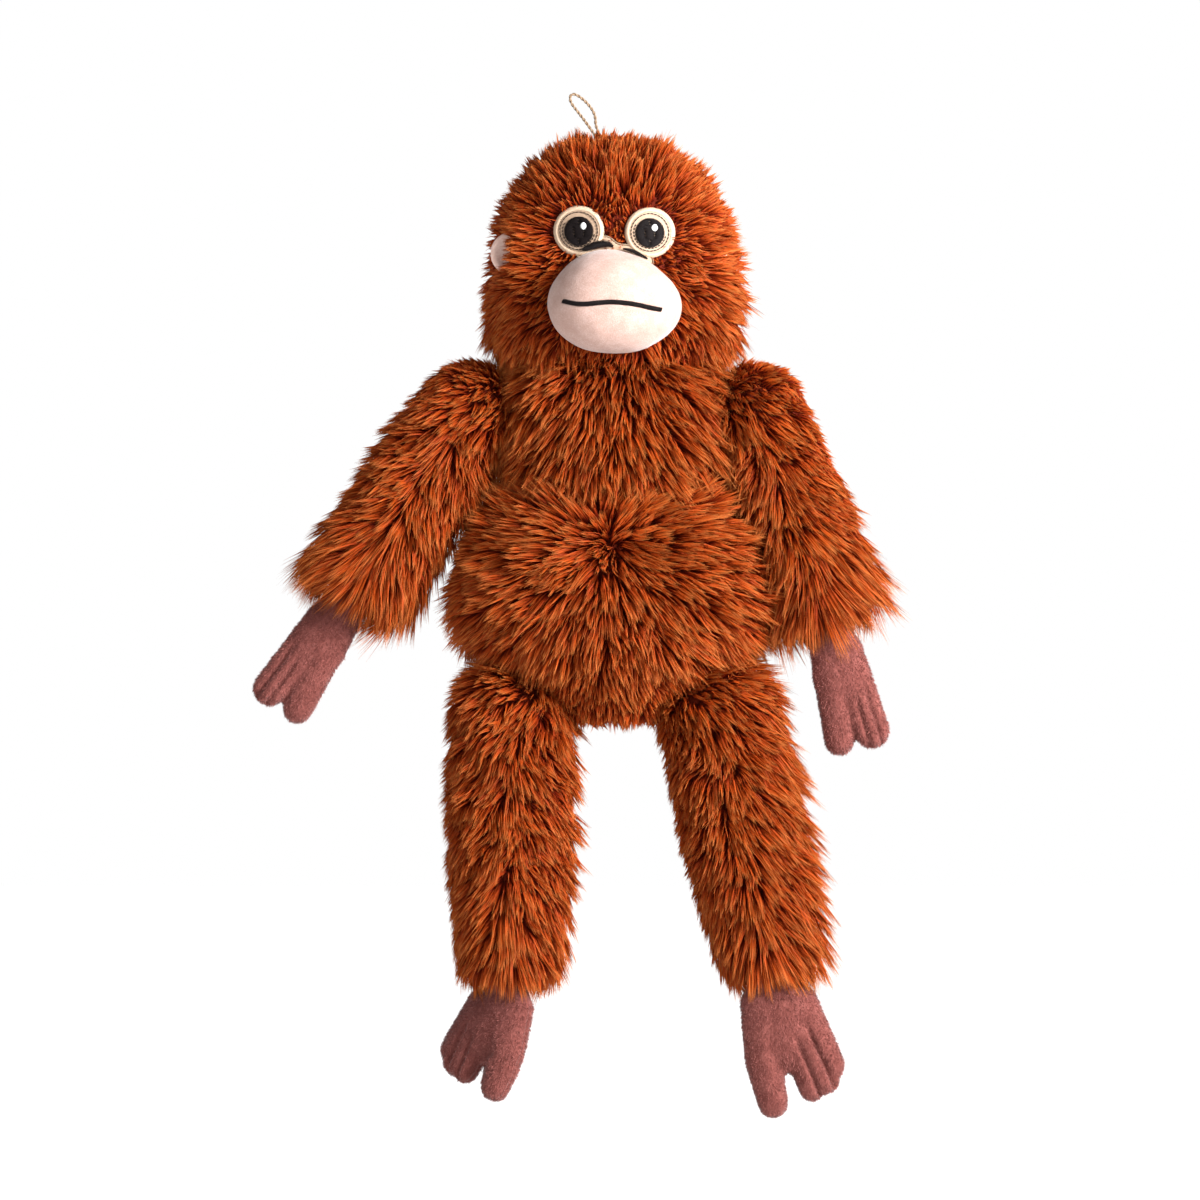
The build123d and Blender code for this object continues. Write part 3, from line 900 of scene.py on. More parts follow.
stuffed(skins["head"], "head", 0.9, "rust_pile", "head_front_cover", "head_back_cover", "head_stuffing")
stuffed(skins["chest"], "torso", 0.8, "rust_pile", "chest_cover", "chest_stuffing")
stuffed(skins["belly"], "torso", 0.8, "rust_pile", "belly_cover", "belly_stuffing",
        "back_cover_left", "back_cover_right")
for kind, side in limbs:
    stuffed(skins[f"{kind}_{side}"], f"{kind}_{side}", 0.7, "rust_pile",
            f"{kind}_cover_{side}", f"{kind}_stuffing_{side}")

# %% [markdown]
# Hands and feet are flat velour bags, sewn from two mirrored panels with two lobes and stuffed. Stuffed
# cloth takes its shape from its filling, so each bag is laid out a little thin, made one even mesh and
# then blown up with the Cloth simulation. No point may move further than a small cap.

# %% Stuffed cloth
CLOTH_FRAMES = 20


def applied(piece):
    """Makes a piece's modifiers part of its mesh."""
    bpy.context.view_layer.update()
    shown = piece.evaluated_get(bpy.context.evaluated_depsgraph_get())
    mesh = bpy.data.meshes.new_from_object(shown)
    piece.modifiers.clear()
    piece.data = mesh
    mesh.name = piece.name


def positions(mesh):
    flat = np.empty(len(mesh.vertices) * 3)
    mesh.vertices.foreach_get("co", flat)
    return flat.reshape(-1, 3)


def push(piece, amount):
    """Moves every point along its normal by an amount in mm, worked out from its place."""
    mesh = piece.data
    places = positions(mesh)
    normals = np.empty(len(mesh.vertices) * 3)
    mesh.vertices.foreach_get("normal", normals)
    moves = np.array([amount(Vector(place)) for place in places]) * MM
    mesh.vertices.foreach_set("co", (places + normals.reshape(-1, 3) * moves[:, None]).ravel())
    mesh.update()


def inflate(piece, voxel, cap, pressure=4.0, relax=0.5, rounds=4):
    """Even mesh, Cloth with pressure inside, capped moves and one subdivision."""
    even = piece.modifiers.new("even", "REMESH")
    even.mode = "VOXEL"
    even.voxel_size = voxel
    soft = piece.modifiers.new("soft", "SMOOTH")
    soft.factor = relax
    soft.iterations = rounds
    applied(piece)
    start = positions(piece.data)
    cloth = piece.modifiers.new("cloth", "CLOTH")
    cloth.settings.use_pressure = True
    cloth.settings.uniform_pressure_force = pressure
    cloth.settings.effector_weights.gravity = 0.0
    cloth.settings.quality = 5
    cloth.point_cache.frame_end = CLOTH_FRAMES
    scene = bpy.context.scene
    for frame_number in range(1, CLOTH_FRAMES + 1):
        scene.frame_set(frame_number)
    applied(piece)
    scene.frame_set(1)
    moves = positions(piece.data) - start
    far = np.linalg.norm(moves, axis=1, keepdims=True)
    ended = start + moves * np.minimum(1.0, cap / np.maximum(far, 1e-9))
    piece.data.vertices.foreach_set("co", ended.ravel())
    print(piece.name, "swelled", round(float(far.mean()) * 1000, 2), "mm on average")
    finer = piece.modifiers.new("finer", "SUBSURF")
    finer.levels = finer.render_levels = 1
    applied(piece)
    piece.data.shade_smooth()


# %% [markdown]
# Velour is a short dense nap. Where the nap was brushed another way it catches the light
# differently, so patches a few millimetres wide are painted lighter and darker: a painted sheen over
# the velour's own colour. A fine grain covers it.

# %% Velour
def velour_material(name, dark, middle, light):
    material, weave, shader = new_material(name, 0.92, sheen_weight=0.35, sheen_roughness=0.4,
                                           specular_ior_level=0.15)
    place = weave.node("ShaderNodeTexCoord", out=3)
    # Painted sheen: patches a few millimetres wide where the brushed nap would catch the light differently.
    brushed_sheen = weave.noise(place, 130.0, 3.0, 0.6)
    grain = weave.noise(place, 1100.0, 4.0, 0.7)
    knit = weave.node("ShaderNodeTexVoronoi", sockets={"Vector": place, "Scale": 1500.0})
    tone = weave.node("ShaderNodeValToRGB", {"stops": [(0.25, dark), (0.5, middle), (0.72, light)]},
                      {"Fac": brushed_sheen * 0.45 + grain * 0.55})
    dress(weave, shader, tone, grain * 0.7 + knit * 0.3, 0.7, 0.5 * MM)
    return material


mauve_velour = velour_material("mauve_velour", colour(0.08, 0.0195, 0.016), colour(0.15, 0.042, 0.034),
                               colour(0.27, 0.088, 0.074))
pale_velour = velour_material("pale_velour", colour(0.33, 0.195, 0.16), colour(0.43, 0.285, 0.24),
                              colour(0.54, 0.39, 0.345))
pink_velour = velour_material("pink_velour", colour(0.62, 0.36, 0.29), colour(0.76, 0.52, 0.44),
                              colour(0.86, 0.66, 0.58))

# %% [markdown]
# Every lobe starts as a tapered capsule in the flat plane of its paw: x outwards along the hinge of
# the wrist or ankle, y towards the tips. Where capsules meet, the even mesh joins them. The stitched
# grooves between fingers and toes, and the seam round the edge, are pressed in after the filling.

# %% Hands and feet
# start x and y, end x and y, radius at both ends, half thickness at both ends, all in mm
HAND_LOBES = [(0, 0, 0, 6, 7.6, 10, 7.6, 7.6), (0, 9, -1, 36, 13, 16, 7.6, 7.6),
              (-5, 20, -9.8, 67, 9.5, 8.6, 7.4, 7.2), (4, 22, 9.6, 66, 12, 10.2, 7.4, 7.0)]
FOOT_LOBES = [(0, 0, 0, 6, 9.5, 12, 9.5, 9.5), (0, 8, 1, 38, 16, 19, 9.4, 8.6),
              (-8, 14, -14.5, 46, 13, 11, 9.0, 8.2), (-14.5, 46, -15, 70, 11, 8.6, 8.2, 7.6),
              (4, 26, 9.6, 67, 11, 7.4, 8.2, 6.8), (9, 24, 17.8, 63.5, 11, 8.2, 8.0, 6.8),
              (11, 18, 22.6, 56, 12, 8.0, 8.0, 6.4)]
# sewn grooves between fingers and toes: start x and y, end x and y, all in mm
HAND_GROOVES = [(5.2, 44, 6.6, 82), (11.5, 40, 14.0, 80)]
FOOT_GROOVES = [(5.5, 34, 14.6, 80), (12.5, 28, 23.5, 74)]
# how far each paw's tips point outwards, in degrees, how far it is turned about its own length, and
# how much longer than its pattern it came out
TILT = {("hand", "left"): 13.6, ("hand", "right"): 33.0,
        ("foot", "left"): 12.0, ("foot", "right"): 19.0}
EXTRA_TURN = {("foot", "right"): -12.0}
STRETCH = {("hand", "left"): 1.05, ("hand", "right"): 1.08,
           ("foot", "left"): 1.0, ("foot", "right"): 0.83}
SIDE_SIGN = {"left": 1, "right": -1}


class PawPlane:
    """The plane of a hand or foot, from its joint and the way its tips point."""

    def __init__(self, kind, side):
        joint = f"{'wrist' if kind == 'hand' else 'ankle'}_{side}"
        tilt = math.radians(TILT[kind, side])
        self.centre = joint_place[joint]
        self.reach = Vector((SIDE_SIGN[side] * math.sin(tilt), 0, -math.cos(tilt)))
        self.across = -SIDE_SIGN[side] * joint_axis[joint]
        self.across = (self.across - self.reach * self.across.dot(self.reach)).normalized()
        self.front = self.across.cross(self.reach).normalized()
        if self.front.y > 0:
            self.front = -self.front
        turned = Matrix.Rotation(math.radians(EXTRA_TURN.get((kind, side), 0.0)), 3, self.reach)
        self.across, self.front = turned @ self.across, turned @ self.front

    def place(self, x, y, z=0.0):
        return self.centre + self.across * x + self.reach * y + self.front * z


CAP_SHARE = 0.3
CAP_CLOSE = 0.93
WRIST_END = 20 * MM


def capsule(plane, lobe, stretch, rings=14, sides=24):
    """A tapered, flattened capsule in the paw's plane."""
    x0, y0, x1, y1, wide0, wide1, thick0, thick1 = (value * MM for value in lobe)
    y1 = y1 * stretch if y1 > WRIST_END else y1
    start, end = plane.place(x0, y0), plane.place(x1, y1)
    way = (end - start).normalized()
    side = way.cross(plane.front).normalized()
    length = (end - start).length
    vertices = [start - way * wide0]
    for ring in range(rings):
        share = ring / (rings - 1)
        if share < CAP_SHARE:
            angle = math.pi / 2 * (1 - share / CAP_SHARE) * CAP_CLOSE
            along, wide, thick, squeeze = -wide0 * math.sin(angle), wide0, thick0, math.cos(angle)
        elif share > 1 - CAP_SHARE:
            angle = math.pi / 2 * (share - (1 - CAP_SHARE)) / CAP_SHARE * CAP_CLOSE
            along, wide, thick, squeeze = length + wide1 * math.sin(angle), wide1, thick1, math.cos(angle)
        else:
            t = (share - CAP_SHARE) / (1 - 2 * CAP_SHARE)
            along, squeeze = length * t, 1
            wide, thick = wide0 + (wide1 - wide0) * t, thick0 + (thick1 - thick0) * t
        for step in range(sides):
            turn = 2 * math.pi * step / sides
            vertices.append(start + way * along + side * (wide * squeeze * math.cos(turn))
                            + plane.front * (thick * squeeze * math.sin(turn)))
    vertices.append(end + way * wide1)
    return vertices, ring_faces(rings, sides)


def paw(kind, side, stretch):
    plane = PawPlane(kind, side)
    grooves, depth = (HAND_GROOVES, 2.0) if kind == "hand" else (FOOT_GROOVES, 2.6)
    vertices, faces = [], []
    for lobe in (HAND_LOBES if kind == "hand" else FOOT_LOBES):
        lobe_vertices, lobe_faces = capsule(plane, lobe, stretch)
        faces += [tuple(index + len(vertices) for index in face) for face in lobe_faces]
        vertices += lobe_vertices
    piece = mesh_object(f"{kind}_velour_{side}", vertices, faces, mauve_velour)
    inflate(piece, 1.5 * MM, 1.2 * MM)

    def pinch(place):
        gap = place - plane.centre
        height = gap.dot(plane.front) / MM
        spot = Vector((gap.dot(plane.across) / MM, gap.dot(plane.reach) / MM))
        groove = math.exp(-(height / 0.9) ** 2) * 0.8 * min(max((spot.y - 4) / 8, 0), 1)
        if abs(height) > 2.0:
            for x0, y0, x1, y1 in grooves:
                start, end = Vector((x0, y0)), Vector((x1, y1))
                share = min(max((spot - start).dot(end - start) / (end - start).length_squared, 0), 1)
                gap_across = (spot - start.lerp(end, share)).length
                groove += depth * math.exp(-(gap_across / 1.5) ** 2) * min(share * 4, 1)
        return noise.noise(place * 160) * 0.3 - groove

    push(piece, pinch)
    return plane, piece


paws = {}
for kind, panels in (("hand", ("palm", "back")), ("foot", ("top", "sole"))):
    for side in SIDE_SIGN:
        plane, piece = paw(kind, side, STRETCH[kind, side])
        paws[kind, side] = (plane, piece)
        stuffed(piece, f"{kind}_{side}", 0.75, "mauve_velour", f"{kind}_{panels[0]}_{side}",
                f"{kind}_{panels[1]}_{side}", f"{kind}_stuffing_{side}")
        print(piece.name, len(piece.data.polygons), "faces")

# %% [markdown]
# Up close velour is a fuzz of fibres about a millimetre long. The same pile tree grows it, far shorter
# and upright, so the outline of a hand is soft and not a hard edge.

# %% Nap on hands and feet
def nap_material():
    material, weave, shader = new_material("mauve_nap", 0.85, specular_ior_level=0.15)
    tone, along = strand_chart(weave)
    base = weave.mix(tone, colour(0.08, 0.018, 0.015), colour(0.20, 0.055, 0.046))
    tip = weave.mix(tone, colour(0.17, 0.045, 0.038), colour(0.44, 0.17, 0.145))
    plug(weave.tree, shader.inputs["Base Color"], weave.mix(along, base, tip))
    return material


NAP = {"Length": 1.7 * MM, "Width": 0.30 * MM, "Rise": 0.62, "Reach": 0.55, "Tuft": 2.6 * MM,
       "Lock": 1.1 * MM, "Steps": 1, "Material": nap_material()}
for number, ((kind, side), (plane, piece)) in enumerate(paws.items()):
    def comb_paw(place, normal):
        along = (place - plane.centre).dot(plane.reach)
        cover = fade(6 * MM, 10 * MM, along)
        return along_surface(plane.reach, normal) * 0.8, 1.0, cover
    set_comb(piece, comb_paw)
    values = dict(NAP, Density=2.2e6 * DENSITY, Seed=51 + number)
    fuzz = baked_copy(f"{kind}_nap_{side}", piece, pile_tree, values)
    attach(fuzz, f"{kind}_{side}")
    print(fuzz.name, len(fuzz.data.polygons), "fibres")

# %% [markdown]
# The muzzle is one pale velour cap stuffed on its own and sewn to the face. Its outline is given as
# points round its centre, because hand-sewn muzzles are never quite oval, and it is blown up like the
# paws.

# %% Muzzle
MUZZLE_CENTRE = Vector((0.3 * MM, head_low.y, -88 * MM))
MUZZLE_REACH = head_low.y - muzzle_low.y
# x and z of the outline from the centre, in mm
MUZZLE_OUTLINE = [(38.6, -4.5), (36.6, 4), (25.4, 17.0), (14, 24.6), (3.6, 28.6), (-8, 29.2),
                  (-22.5, 23.6),
                  (-33.6, 12.6), (-38.6, 0), (-36.7, -12.0), (-26.9, -22.6), (-10, -28.8), (2, -29.6),
                  (17, -27.2), (29.7, -18.8), (37.0, -11.5)]
outline_angles = np.unwrap([math.atan2(z, x) for x, z in MUZZLE_OUTLINE])
outline_radii = [math.hypot(x, z) for x, z in MUZZLE_OUTLINE]


def muzzle_radius(angle):
    turn = (angle - outline_angles[0]) % (2 * math.pi) + outline_angles[0]
    return float(np.interp(turn, list(outline_angles) + [outline_angles[0] + 2 * math.pi],
                           outline_radii + outline_radii[:1])) * MM


def muzzle_shape(rings=22, sides=64):
    vertices = [MUZZLE_CENTRE + Vector((0, -MUZZLE_REACH, 0))]
    radii = [muzzle_radius(2 * math.pi * step / sides) for step in range(sides)]
    radii = [sum(radii[(k + shift) % sides] for shift in range(-2, 3)) / 5 for k in range(sides)]
    for ring in range(rings):
        open_angle = math.radians(118) * (ring + 1) / rings
        for step in range(sides):
            angle = 2 * math.pi * step / sides
            radius = radii[step] * math.sin(open_angle) ** 0.86 - 0.5 * MM
            vertices.append(MUZZLE_CENTRE + Vector((radius * math.cos(angle),
                                                    -MUZZLE_REACH * math.cos(open_angle) + 0.5 * MM,
                                                    radius * math.sin(angle))))
    vertices.append(MUZZLE_CENTRE + Vector((0, MUZZLE_REACH * 0.6, 0)))
    return vertices, ring_faces(rings, sides)


muzzle_vertices, muzzle_faces = muzzle_shape()
muzzle = mesh_object("muzzle_velour", muzzle_vertices, muzzle_faces, pale_velour)
inflate(muzzle, 2.0 * MM, 1.0 * MM)
push(muzzle, lambda place: noise.noise(place * 55) * 0.5 + noise.noise(place * 140) * 0.2)
stuffed(muzzle, "head", 0.85, "pale_velour", "muzzle_cover", "muzzle_stuffing")
print("muzzle", len(muzzle.data.polygons), "faces")

# %% [markdown]
# Each ear is a small flat velour cup that is half lost in the pile. Its rim is thick and its middle
# hollow. The left one sits deeper in the pile than the right one.

# %% Ears
EAR_PLACE = {"left": 51.0, "right": -57.0}


def ear(side):
    low, high = node_box(f"ear_{side}")
    centre = Vector((EAR_PLACE[side] * MM, (low.y + high.y) / 2, -61.0 * MM))
    vertices = [centre + Vector((0, -1.1 * MM, 0))]
    # radius and y of each ring, in mm
    rows = [(3.0, -1.0), (6.0, -1.2), (8.5, -2.0), (10.4, -3.2), (11.6, -3.0), (12.4, -1.2),
            (12.4, 0.8), (11.0, 2.2), (8.0, 2.6), (4.0, 2.6)]
    for radius, y in rows:
        for step in range(32):
            angle = 2 * math.pi * step / 32
            vertices.append(centre + Vector((radius * math.cos(angle), y, radius * math.sin(angle))) * MM)
    vertices.append(centre + Vector((0, 2.6 * MM, 0)))
    piece = mesh_object(f"ear_velour_{side}", vertices, ring_faces(len(rows), 32), pink_velour)
    inflate(piece, 1.2 * MM, 0.6 * MM)
    stuffed(piece, "head", 0.4, "pink_velour", f"ear_{side}")


for side in SIDE_SIGN:
    ear(side)

# %% [markdown]
# Eyes, nostrils and mouth are embroidered. A machine satin stitch is one short thread beside the next,
# each from one edge of the figure to the other, so a second Geometry Nodes tree lays one small curved
# thread on every point of a guide mesh. The guide keeps, point by point, where a stitch goes and how
# high it stands.

# %% Geometry Nodes tree for stitches
def build_stitch_tree():
    tree = bpy.data.node_groups.new("stitches", "GeometryNodeTree")
    given, result = tree_inputs(tree, [("Thread", "Float"), ("Material", "Material")])
    weave = Weaver(tree)

    sheet = weave.node("GeometryNodeMeshGrid", sockets={"Size X": 1.0, "Size Y": 1.0,
                                                        "Vertices X": 7, "Vertices Y": 6})
    across, up, _ = weave.parts(weave.node("GeometryNodeInputPosition"))
    sheet = weave.keep(sheet, "turn", across * (2 * math.pi))
    sheet = weave.keep(sheet, "along", up + 0.5)
    threads = weave.node("GeometryNodeInstanceOnPoints",
                         sockets={"Points": Flow(tree, given.outputs["Geometry"]), "Instance": sheet})
    threads = weave.node("GeometryNodeRealizeInstances", sockets={"Geometry": threads})
    t, turn = weave.named("along"), weave.named("turn")
    arch = (4.0 * t * (1.0 - t)).maths("POWER", 0.6)
    thick = Flow(tree, given.outputs["Thread"]) * 0.5 * (0.35 + 0.65 * arch)
    start, reach, lift, side, up = [weave.named(name, "FLOAT_VECTOR")
                                    for name in ("start", "reach", "lift", "side", "up")]
    place = weave.add(start, (reach, t), (lift, arch), (side, thick * turn.maths("COSINE")),
                      (up, thick * turn.maths("SINE")))
    threads = weave.node("GeometryNodeSetPosition", sockets={"Geometry": threads, "Position": place})
    threads = weave.node("GeometryNodeSetMaterial",
                         sockets={"Geometry": threads, "Material": Flow(tree, given.outputs["Material"])})
    tree.links.new(threads.socket, result.inputs[0])
    return tree


stitch_tree = build_stitch_tree()


def sewn(name, stitches, thread, material, body, slot, *nodes):
    """One piece of embroidery from a list of stitches: start, end, surface normal and lift."""
    guide = mesh_object(name + "_guide", [stitch[0] for stitch in stitches], [], None)
    ups = [stitch[2].normalized() for stitch in stitches]
    reaches = [stitch[1] - stitch[0] for stitch in stitches]
    rows = {"start": [stitch[0] for stitch in stitches], "reach": reaches, "up": ups,
            "lift": [up * stitch[3] for up, stitch in zip(ups, stitches)],
            "side": [reach.cross(up).normalized() for reach, up in zip(reaches, ups)]}
    for attribute, values in rows.items():
        made = guide.data.attributes.new(attribute, "FLOAT_VECTOR", "POINT")
        made.data.foreach_set("vector", [number for value in values for number in value])
    piece = baked_copy(name, guide, stitch_tree, {"Thread": thread, "Material": material})
    bpy.data.objects.remove(guide)
    mend = bmesh.new()
    mend.from_mesh(piece.data)
    bmesh.ops.remove_doubles(mend, verts=mend.verts, dist=1e-6)
    bmesh.ops.recalc_face_normals(mend, faces=mend.faces)
    mend.to_mesh(piece.data)
    mend.free()
    piece.data.shade_smooth()
    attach(piece, body)
    if nodes:
        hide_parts(*nodes)
    print(name, len(stitches), "stitches")
    return piece


def thread_material(name, dark, light, gloss, shine=0.2):
    material, weave, shader = new_material(name, gloss, specular_ior_level=shine)
    place = weave.node("ShaderNodeTexCoord", out=3)
    twist = weave.node("ShaderNodeTexWave", {"wave_type": "BANDS", "bands_direction": "DIAGONAL"},
                       {"Vector": place, "Scale": 900.0, "Distortion": 2.0})
    tone = weave.mix(weave.noise(place, 420.0, 3.0) * 0.7 + twist * 0.3, dark, light)
    dress(weave, shader, tone, twist, 0.3, 0.1 * MM)
    return material


black_thread = thread_material("black_thread", colour(0.002, 0.0015, 0.0015),
                               colour(0.014, 0.010, 0.010), 0.5, 0.06)
cream_thread = thread_material("cream_thread", colour(0.46, 0.31, 0.20), colour(0.68, 0.54, 0.40), 0.5)
white_thread = thread_material("white_thread", colour(0.86, 0.86, 0.84), colour(0.97, 0.97, 0.95), 0.45)

# %% [markdown]
# The mouth lies on the finished muzzle: a ray from the front finds the cloth and its slope at each
# place. Its line dips at both ends and is not quite level.

# %% Mouth
from mathutils.bvhtree import BVHTree

muzzle_surface = BVHTree.FromPolygons([vertex.co for vertex in muzzle.data.vertices],
                                      [tuple(face.vertices) for face in muzzle.data.polygons])


def on_muzzle(x, z):
    """The place and the slope of the muzzle's cloth, seen from the front."""
    hit, normal, _, _ = muzzle_surface.ray_cast(Vector((x, -0.3, z)), Vector((0, 1, 0)))
    return hit, normal if normal.y < 0 else -normal


def smooth_path(points, step):
    line = nurbs_line("path", [(x * MM, 0, z * MM) for x, z in points])
    return even_line(line, step)


def satin(path, widths, surface, slant, lift):
    """Short threads across a path, from edge to edge."""
    stitches = []
    for k in range(1, len(path) - 1):
        way = (path[k + 1] - path[k - 1]).normalized()
        out = Vector((-way.z, 0, way.x))
        half = widths(k / (len(path) - 1)) / 2
        shift = way * slant
        start, _ = surface(path[k].x - out.x * half - shift.x, path[k].z - out.z * half - shift.z)
        end, _ = surface(path[k].x + out.x * half + shift.x, path[k].z + out.z * half + shift.z)
        _, normal = surface(path[k].x, path[k].z)
        stitches.append((start, end, normal, lift))
    return stitches


mouth_path = smooth_path([(-28.9, -88.4), (-22, -90.2), (-15.7, -90.3), (-8, -89.5), (-1.5, -89.0),
                          (8, -89.8),
                          (15.7, -91.2), (20, -92.4), (26.4, -93.4)], 0.42 * MM)
mouth_stitches = satin(mouth_path, lambda share: 2.9 * MM, on_muzzle, 0.35 * MM, 0.55 * MM)
sewn("mouth_thread", mouth_stitches, 0.55 * MM, black_thread, "head", "black_thread", "mouth_stitching")

# %% [markdown]
# Eye and nose patches are cut from cream satin and sewn down with a raised satin-stitched rim. They
# stand a little above the pile's backing, so that the pile round them does not cover them.

# %% Patches
PATCH_HEIGHT = 4.2 * MM


def on_patch(x, z, height=PATCH_HEIGHT):
    """A place on a patch, standing a little off the head."""
    y = head_oval.front(x, z) - height
    slope_x = (head_oval.front(x + 1 * MM, z) - head_oval.front(x - 1 * MM, z)) / (2 * MM)
    slope_z = (head_oval.front(x, z + 1 * MM) - head_oval.front(x, z - 1 * MM)) / (2 * MM)
    return Vector((x, y, z)), Vector((slope_x, -1.0, slope_z)).normalized()


def satin_cloth():
    material, weave, shader = new_material("cream_satin", 0.55, sheen_weight=0.25)
    place = weave.node("ShaderNodeTexCoord", out=3)
    rows = weave.node("ShaderNodeTexWave", {"wave_type": "BANDS", "bands_direction": "Z"},
                      {"Vector": place, "Scale": 420.0, "Distortion": 1.2, "Detail": 2.0})
    # Tan-brown rather than cream: the satin's own cream darkened with painted shade over the embroidered
    # patches.
    tone = weave.mix(weave.noise(place, 260.0, 4.0) * 0.6 + rows * 0.4, colour(0.26, 0.15, 0.09),
                     colour(0.48, 0.34, 0.23))
    dress(weave, shader, tone, rows, 0.5, 0.2 * MM)
    return material


cream_satin = satin_cloth()
EYE_X, EYE_RADIUS = 19.8, 13.7
EYE_Z = {"left": -49.9, "right": -49.0}
# outline of the nose patch: x and z in mm, left to right over the top and back below
NOSE_OUTLINE = [(-22, -58.4), (-17, -57.0), (-12.5, -54.6), (-8.5, -53.0), (-5, -52.4), (-2.0, -53.4),
                (0.4, -56.0), (3.5, -57.2), (8, -57.4), (13, -59.4), (18.5, -62.2), (22, -66),
                (18, -70), (0, -68), (-20, -66)]


def filled_patch(name, outline, height):
    """A thin cloth patch inside an outline of x and z places, with its edge turned down to the head."""
    count = len(outline)
    middle_x = sum(point[0] for point in outline) / count
    middle_z = sum(point[1] for point in outline) / count
    vertices = [on_patch(middle_x, middle_z, height)[0]]
    rows = [(0.2, 1.0), (0.4, 1.0), (0.6, 1.0), (0.8, 1.0), (0.94, 1.0), (1.0, 0.8), (1.0, -0.2), (0.5, -0.3)]
    for share, depth in rows:
        for x, z in outline:
            place, _ = on_patch(middle_x + (x - middle_x) * share, middle_z + (z - middle_z) * share,
                                height * depth)
            vertices.append(place)
    vertices.append(on_patch(middle_x, middle_z, -0.3 * height)[0])
    return mesh_object(name, vertices, ring_faces(len(rows), count), cream_satin)


def circle(x, z, radius, count):
    turns = [2 * math.pi * k / count for k in range(count)]
    return [(x + radius * math.cos(turn), z + radius * math.sin(turn)) for turn in turns]


def rim_stitches(outline, width, height, lift):
    """Radial threads over the edge of a patch."""
    stitches = []
    count = len(outline)
    for k, (x, z) in enumerate(outline):
        before, after = outline[k - 1], outline[(k + 1) % count]
        way = Vector((after[0] - before[0], 0, after[1] - before[1])).normalized()
        out = Vector((way.z, 0, -way.x)) * width
        outer, _ = on_patch(x, z, height * 0.55)
        inner, _ = on_patch(x - out.x, z - out.z, height)
        _, normal = on_patch(x - out.x / 2, z - out.z / 2)
        stitches.append((outer, inner, normal, lift))
    return stitches


# %% [markdown]
# An eye is, from the outside in: the cream rim, a fine double run of black stitches, a round pupil of
# level black threads and a small white glint up on the animal's left.

# %% Eyes
def thread_rows(x, z, radius, pitch, height, lift, hole=None):
    """Level threads that fill a disc, leaving out a round hole."""
    stitches = []
    rows = int(2 * radius / pitch)
    for row in range(rows):
        level = -radius + (row + 0.5) * pitch
        half = math.sqrt(max(radius ** 2 - level ** 2, 0.0))
        spans = [(-half, half)]
        if hole:
            hole_x, hole_z, hole_radius = hole
            reach = hole_radius ** 2 - (level - hole_z) ** 2
            if reach > 0:
                cut = math.sqrt(reach)
                spans = [(-half, hole_x - cut), (hole_x + cut, half)]
        for low, high in spans:
            parts = max(1, round((high - low) / (6.0 * MM)))
            for part in range(parts):
                first = low + (high - low) * part / parts
                last = low + (high - low) * (part + 1) / parts
                if last - first > 0.2 * MM:
                    start, _ = on_patch(x + first, z + level, height)
                    end, _ = on_patch(x + last, z + level, height)
                    _, normal = on_patch(x + (first + last) / 2, z + level)
                    stitches.append((start, end, normal, lift))
    return stitches


def ring_run(x, z, radius, stitch, gap, height, lift, first=0.0, last=360.0):
    """A run of separate small stitches round a circle."""
    stitches = []
    sweep = math.radians(last - first)
    count = int(radius * sweep / (stitch + gap))
    for k in range(count):
        begin = math.radians(first) + sweep * k / count
        finish = begin + stitch / radius
        start, normal = on_patch(x + radius * math.cos(begin), z + radius * math.sin(begin), height)
        end, _ = on_patch(x + radius * math.cos(finish), z + radius * math.sin(finish), height)
        stitches.append((start, end, normal, lift))
    return stitches


for side in SIDE_SIGN:
    x, z = SIDE_SIGN[side] * EYE_X * MM, EYE_Z[side] * MM
    patch = filled_patch(f"eye_satin_{side}", circle(x, z, EYE_RADIUS * MM, 56), PATCH_HEIGHT)
    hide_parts(f"eye_patch_{side}")
    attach(patch, "head")
    rim = rim_stitches(circle(x, z, (EYE_RADIUS + 0.5) * MM, 210), 2.6 * MM, PATCH_HEIGHT + 0.1 * MM,
                       0.75 * MM)
    sewn(f"eye_rim_{side}", rim, 0.55 * MM, cream_thread, "head", "cream_satin")
    pupil = thread_rows(x, z - 0.2 * MM, 8.3 * MM, 0.38 * MM, PATCH_HEIGHT + 0.45 * MM, 0.35 * MM,
                        (2.6 * MM, 2.8 * MM, 1.5 * MM))
    pupil += thread_rows(x, z - 0.2 * MM, 7.9 * MM, 0.5 * MM, PATCH_HEIGHT + 0.1 * MM, 0.3 * MM)
    ring = ring_run(x, z, 10.5 * MM, 1.9 * MM, 0.15 * MM, PATCH_HEIGHT + 0.2 * MM, 0.35 * MM)
    ring += ring_run(x, z, 9.0 * MM, 1.6 * MM, 0.3 * MM, PATCH_HEIGHT + 0.1 * MM, 0.3 * MM, 150, 350)
    sewn(f"eye_black_{side}", pupil + ring, 0.56 * MM, black_thread, "head", "black_thread",
         f"eye_stitching_{side}")
    glint = thread_rows(x + 2.6 * MM, z + 2.6 * MM, 1.95 * MM, 0.42 * MM, PATCH_HEIGHT + 0.3 * MM,
                        0.75 * MM)
    sewn(f"eye_white_{side}", glint, 0.5 * MM, white_thread, "head", "white_thread", f"eye_glint_{side}")

# %% [markdown]
# The nose is one long patch with two nostrils: a fat crescent on one side and a thin slanting stroke on
# the other, because the head was stuffed a little askew.

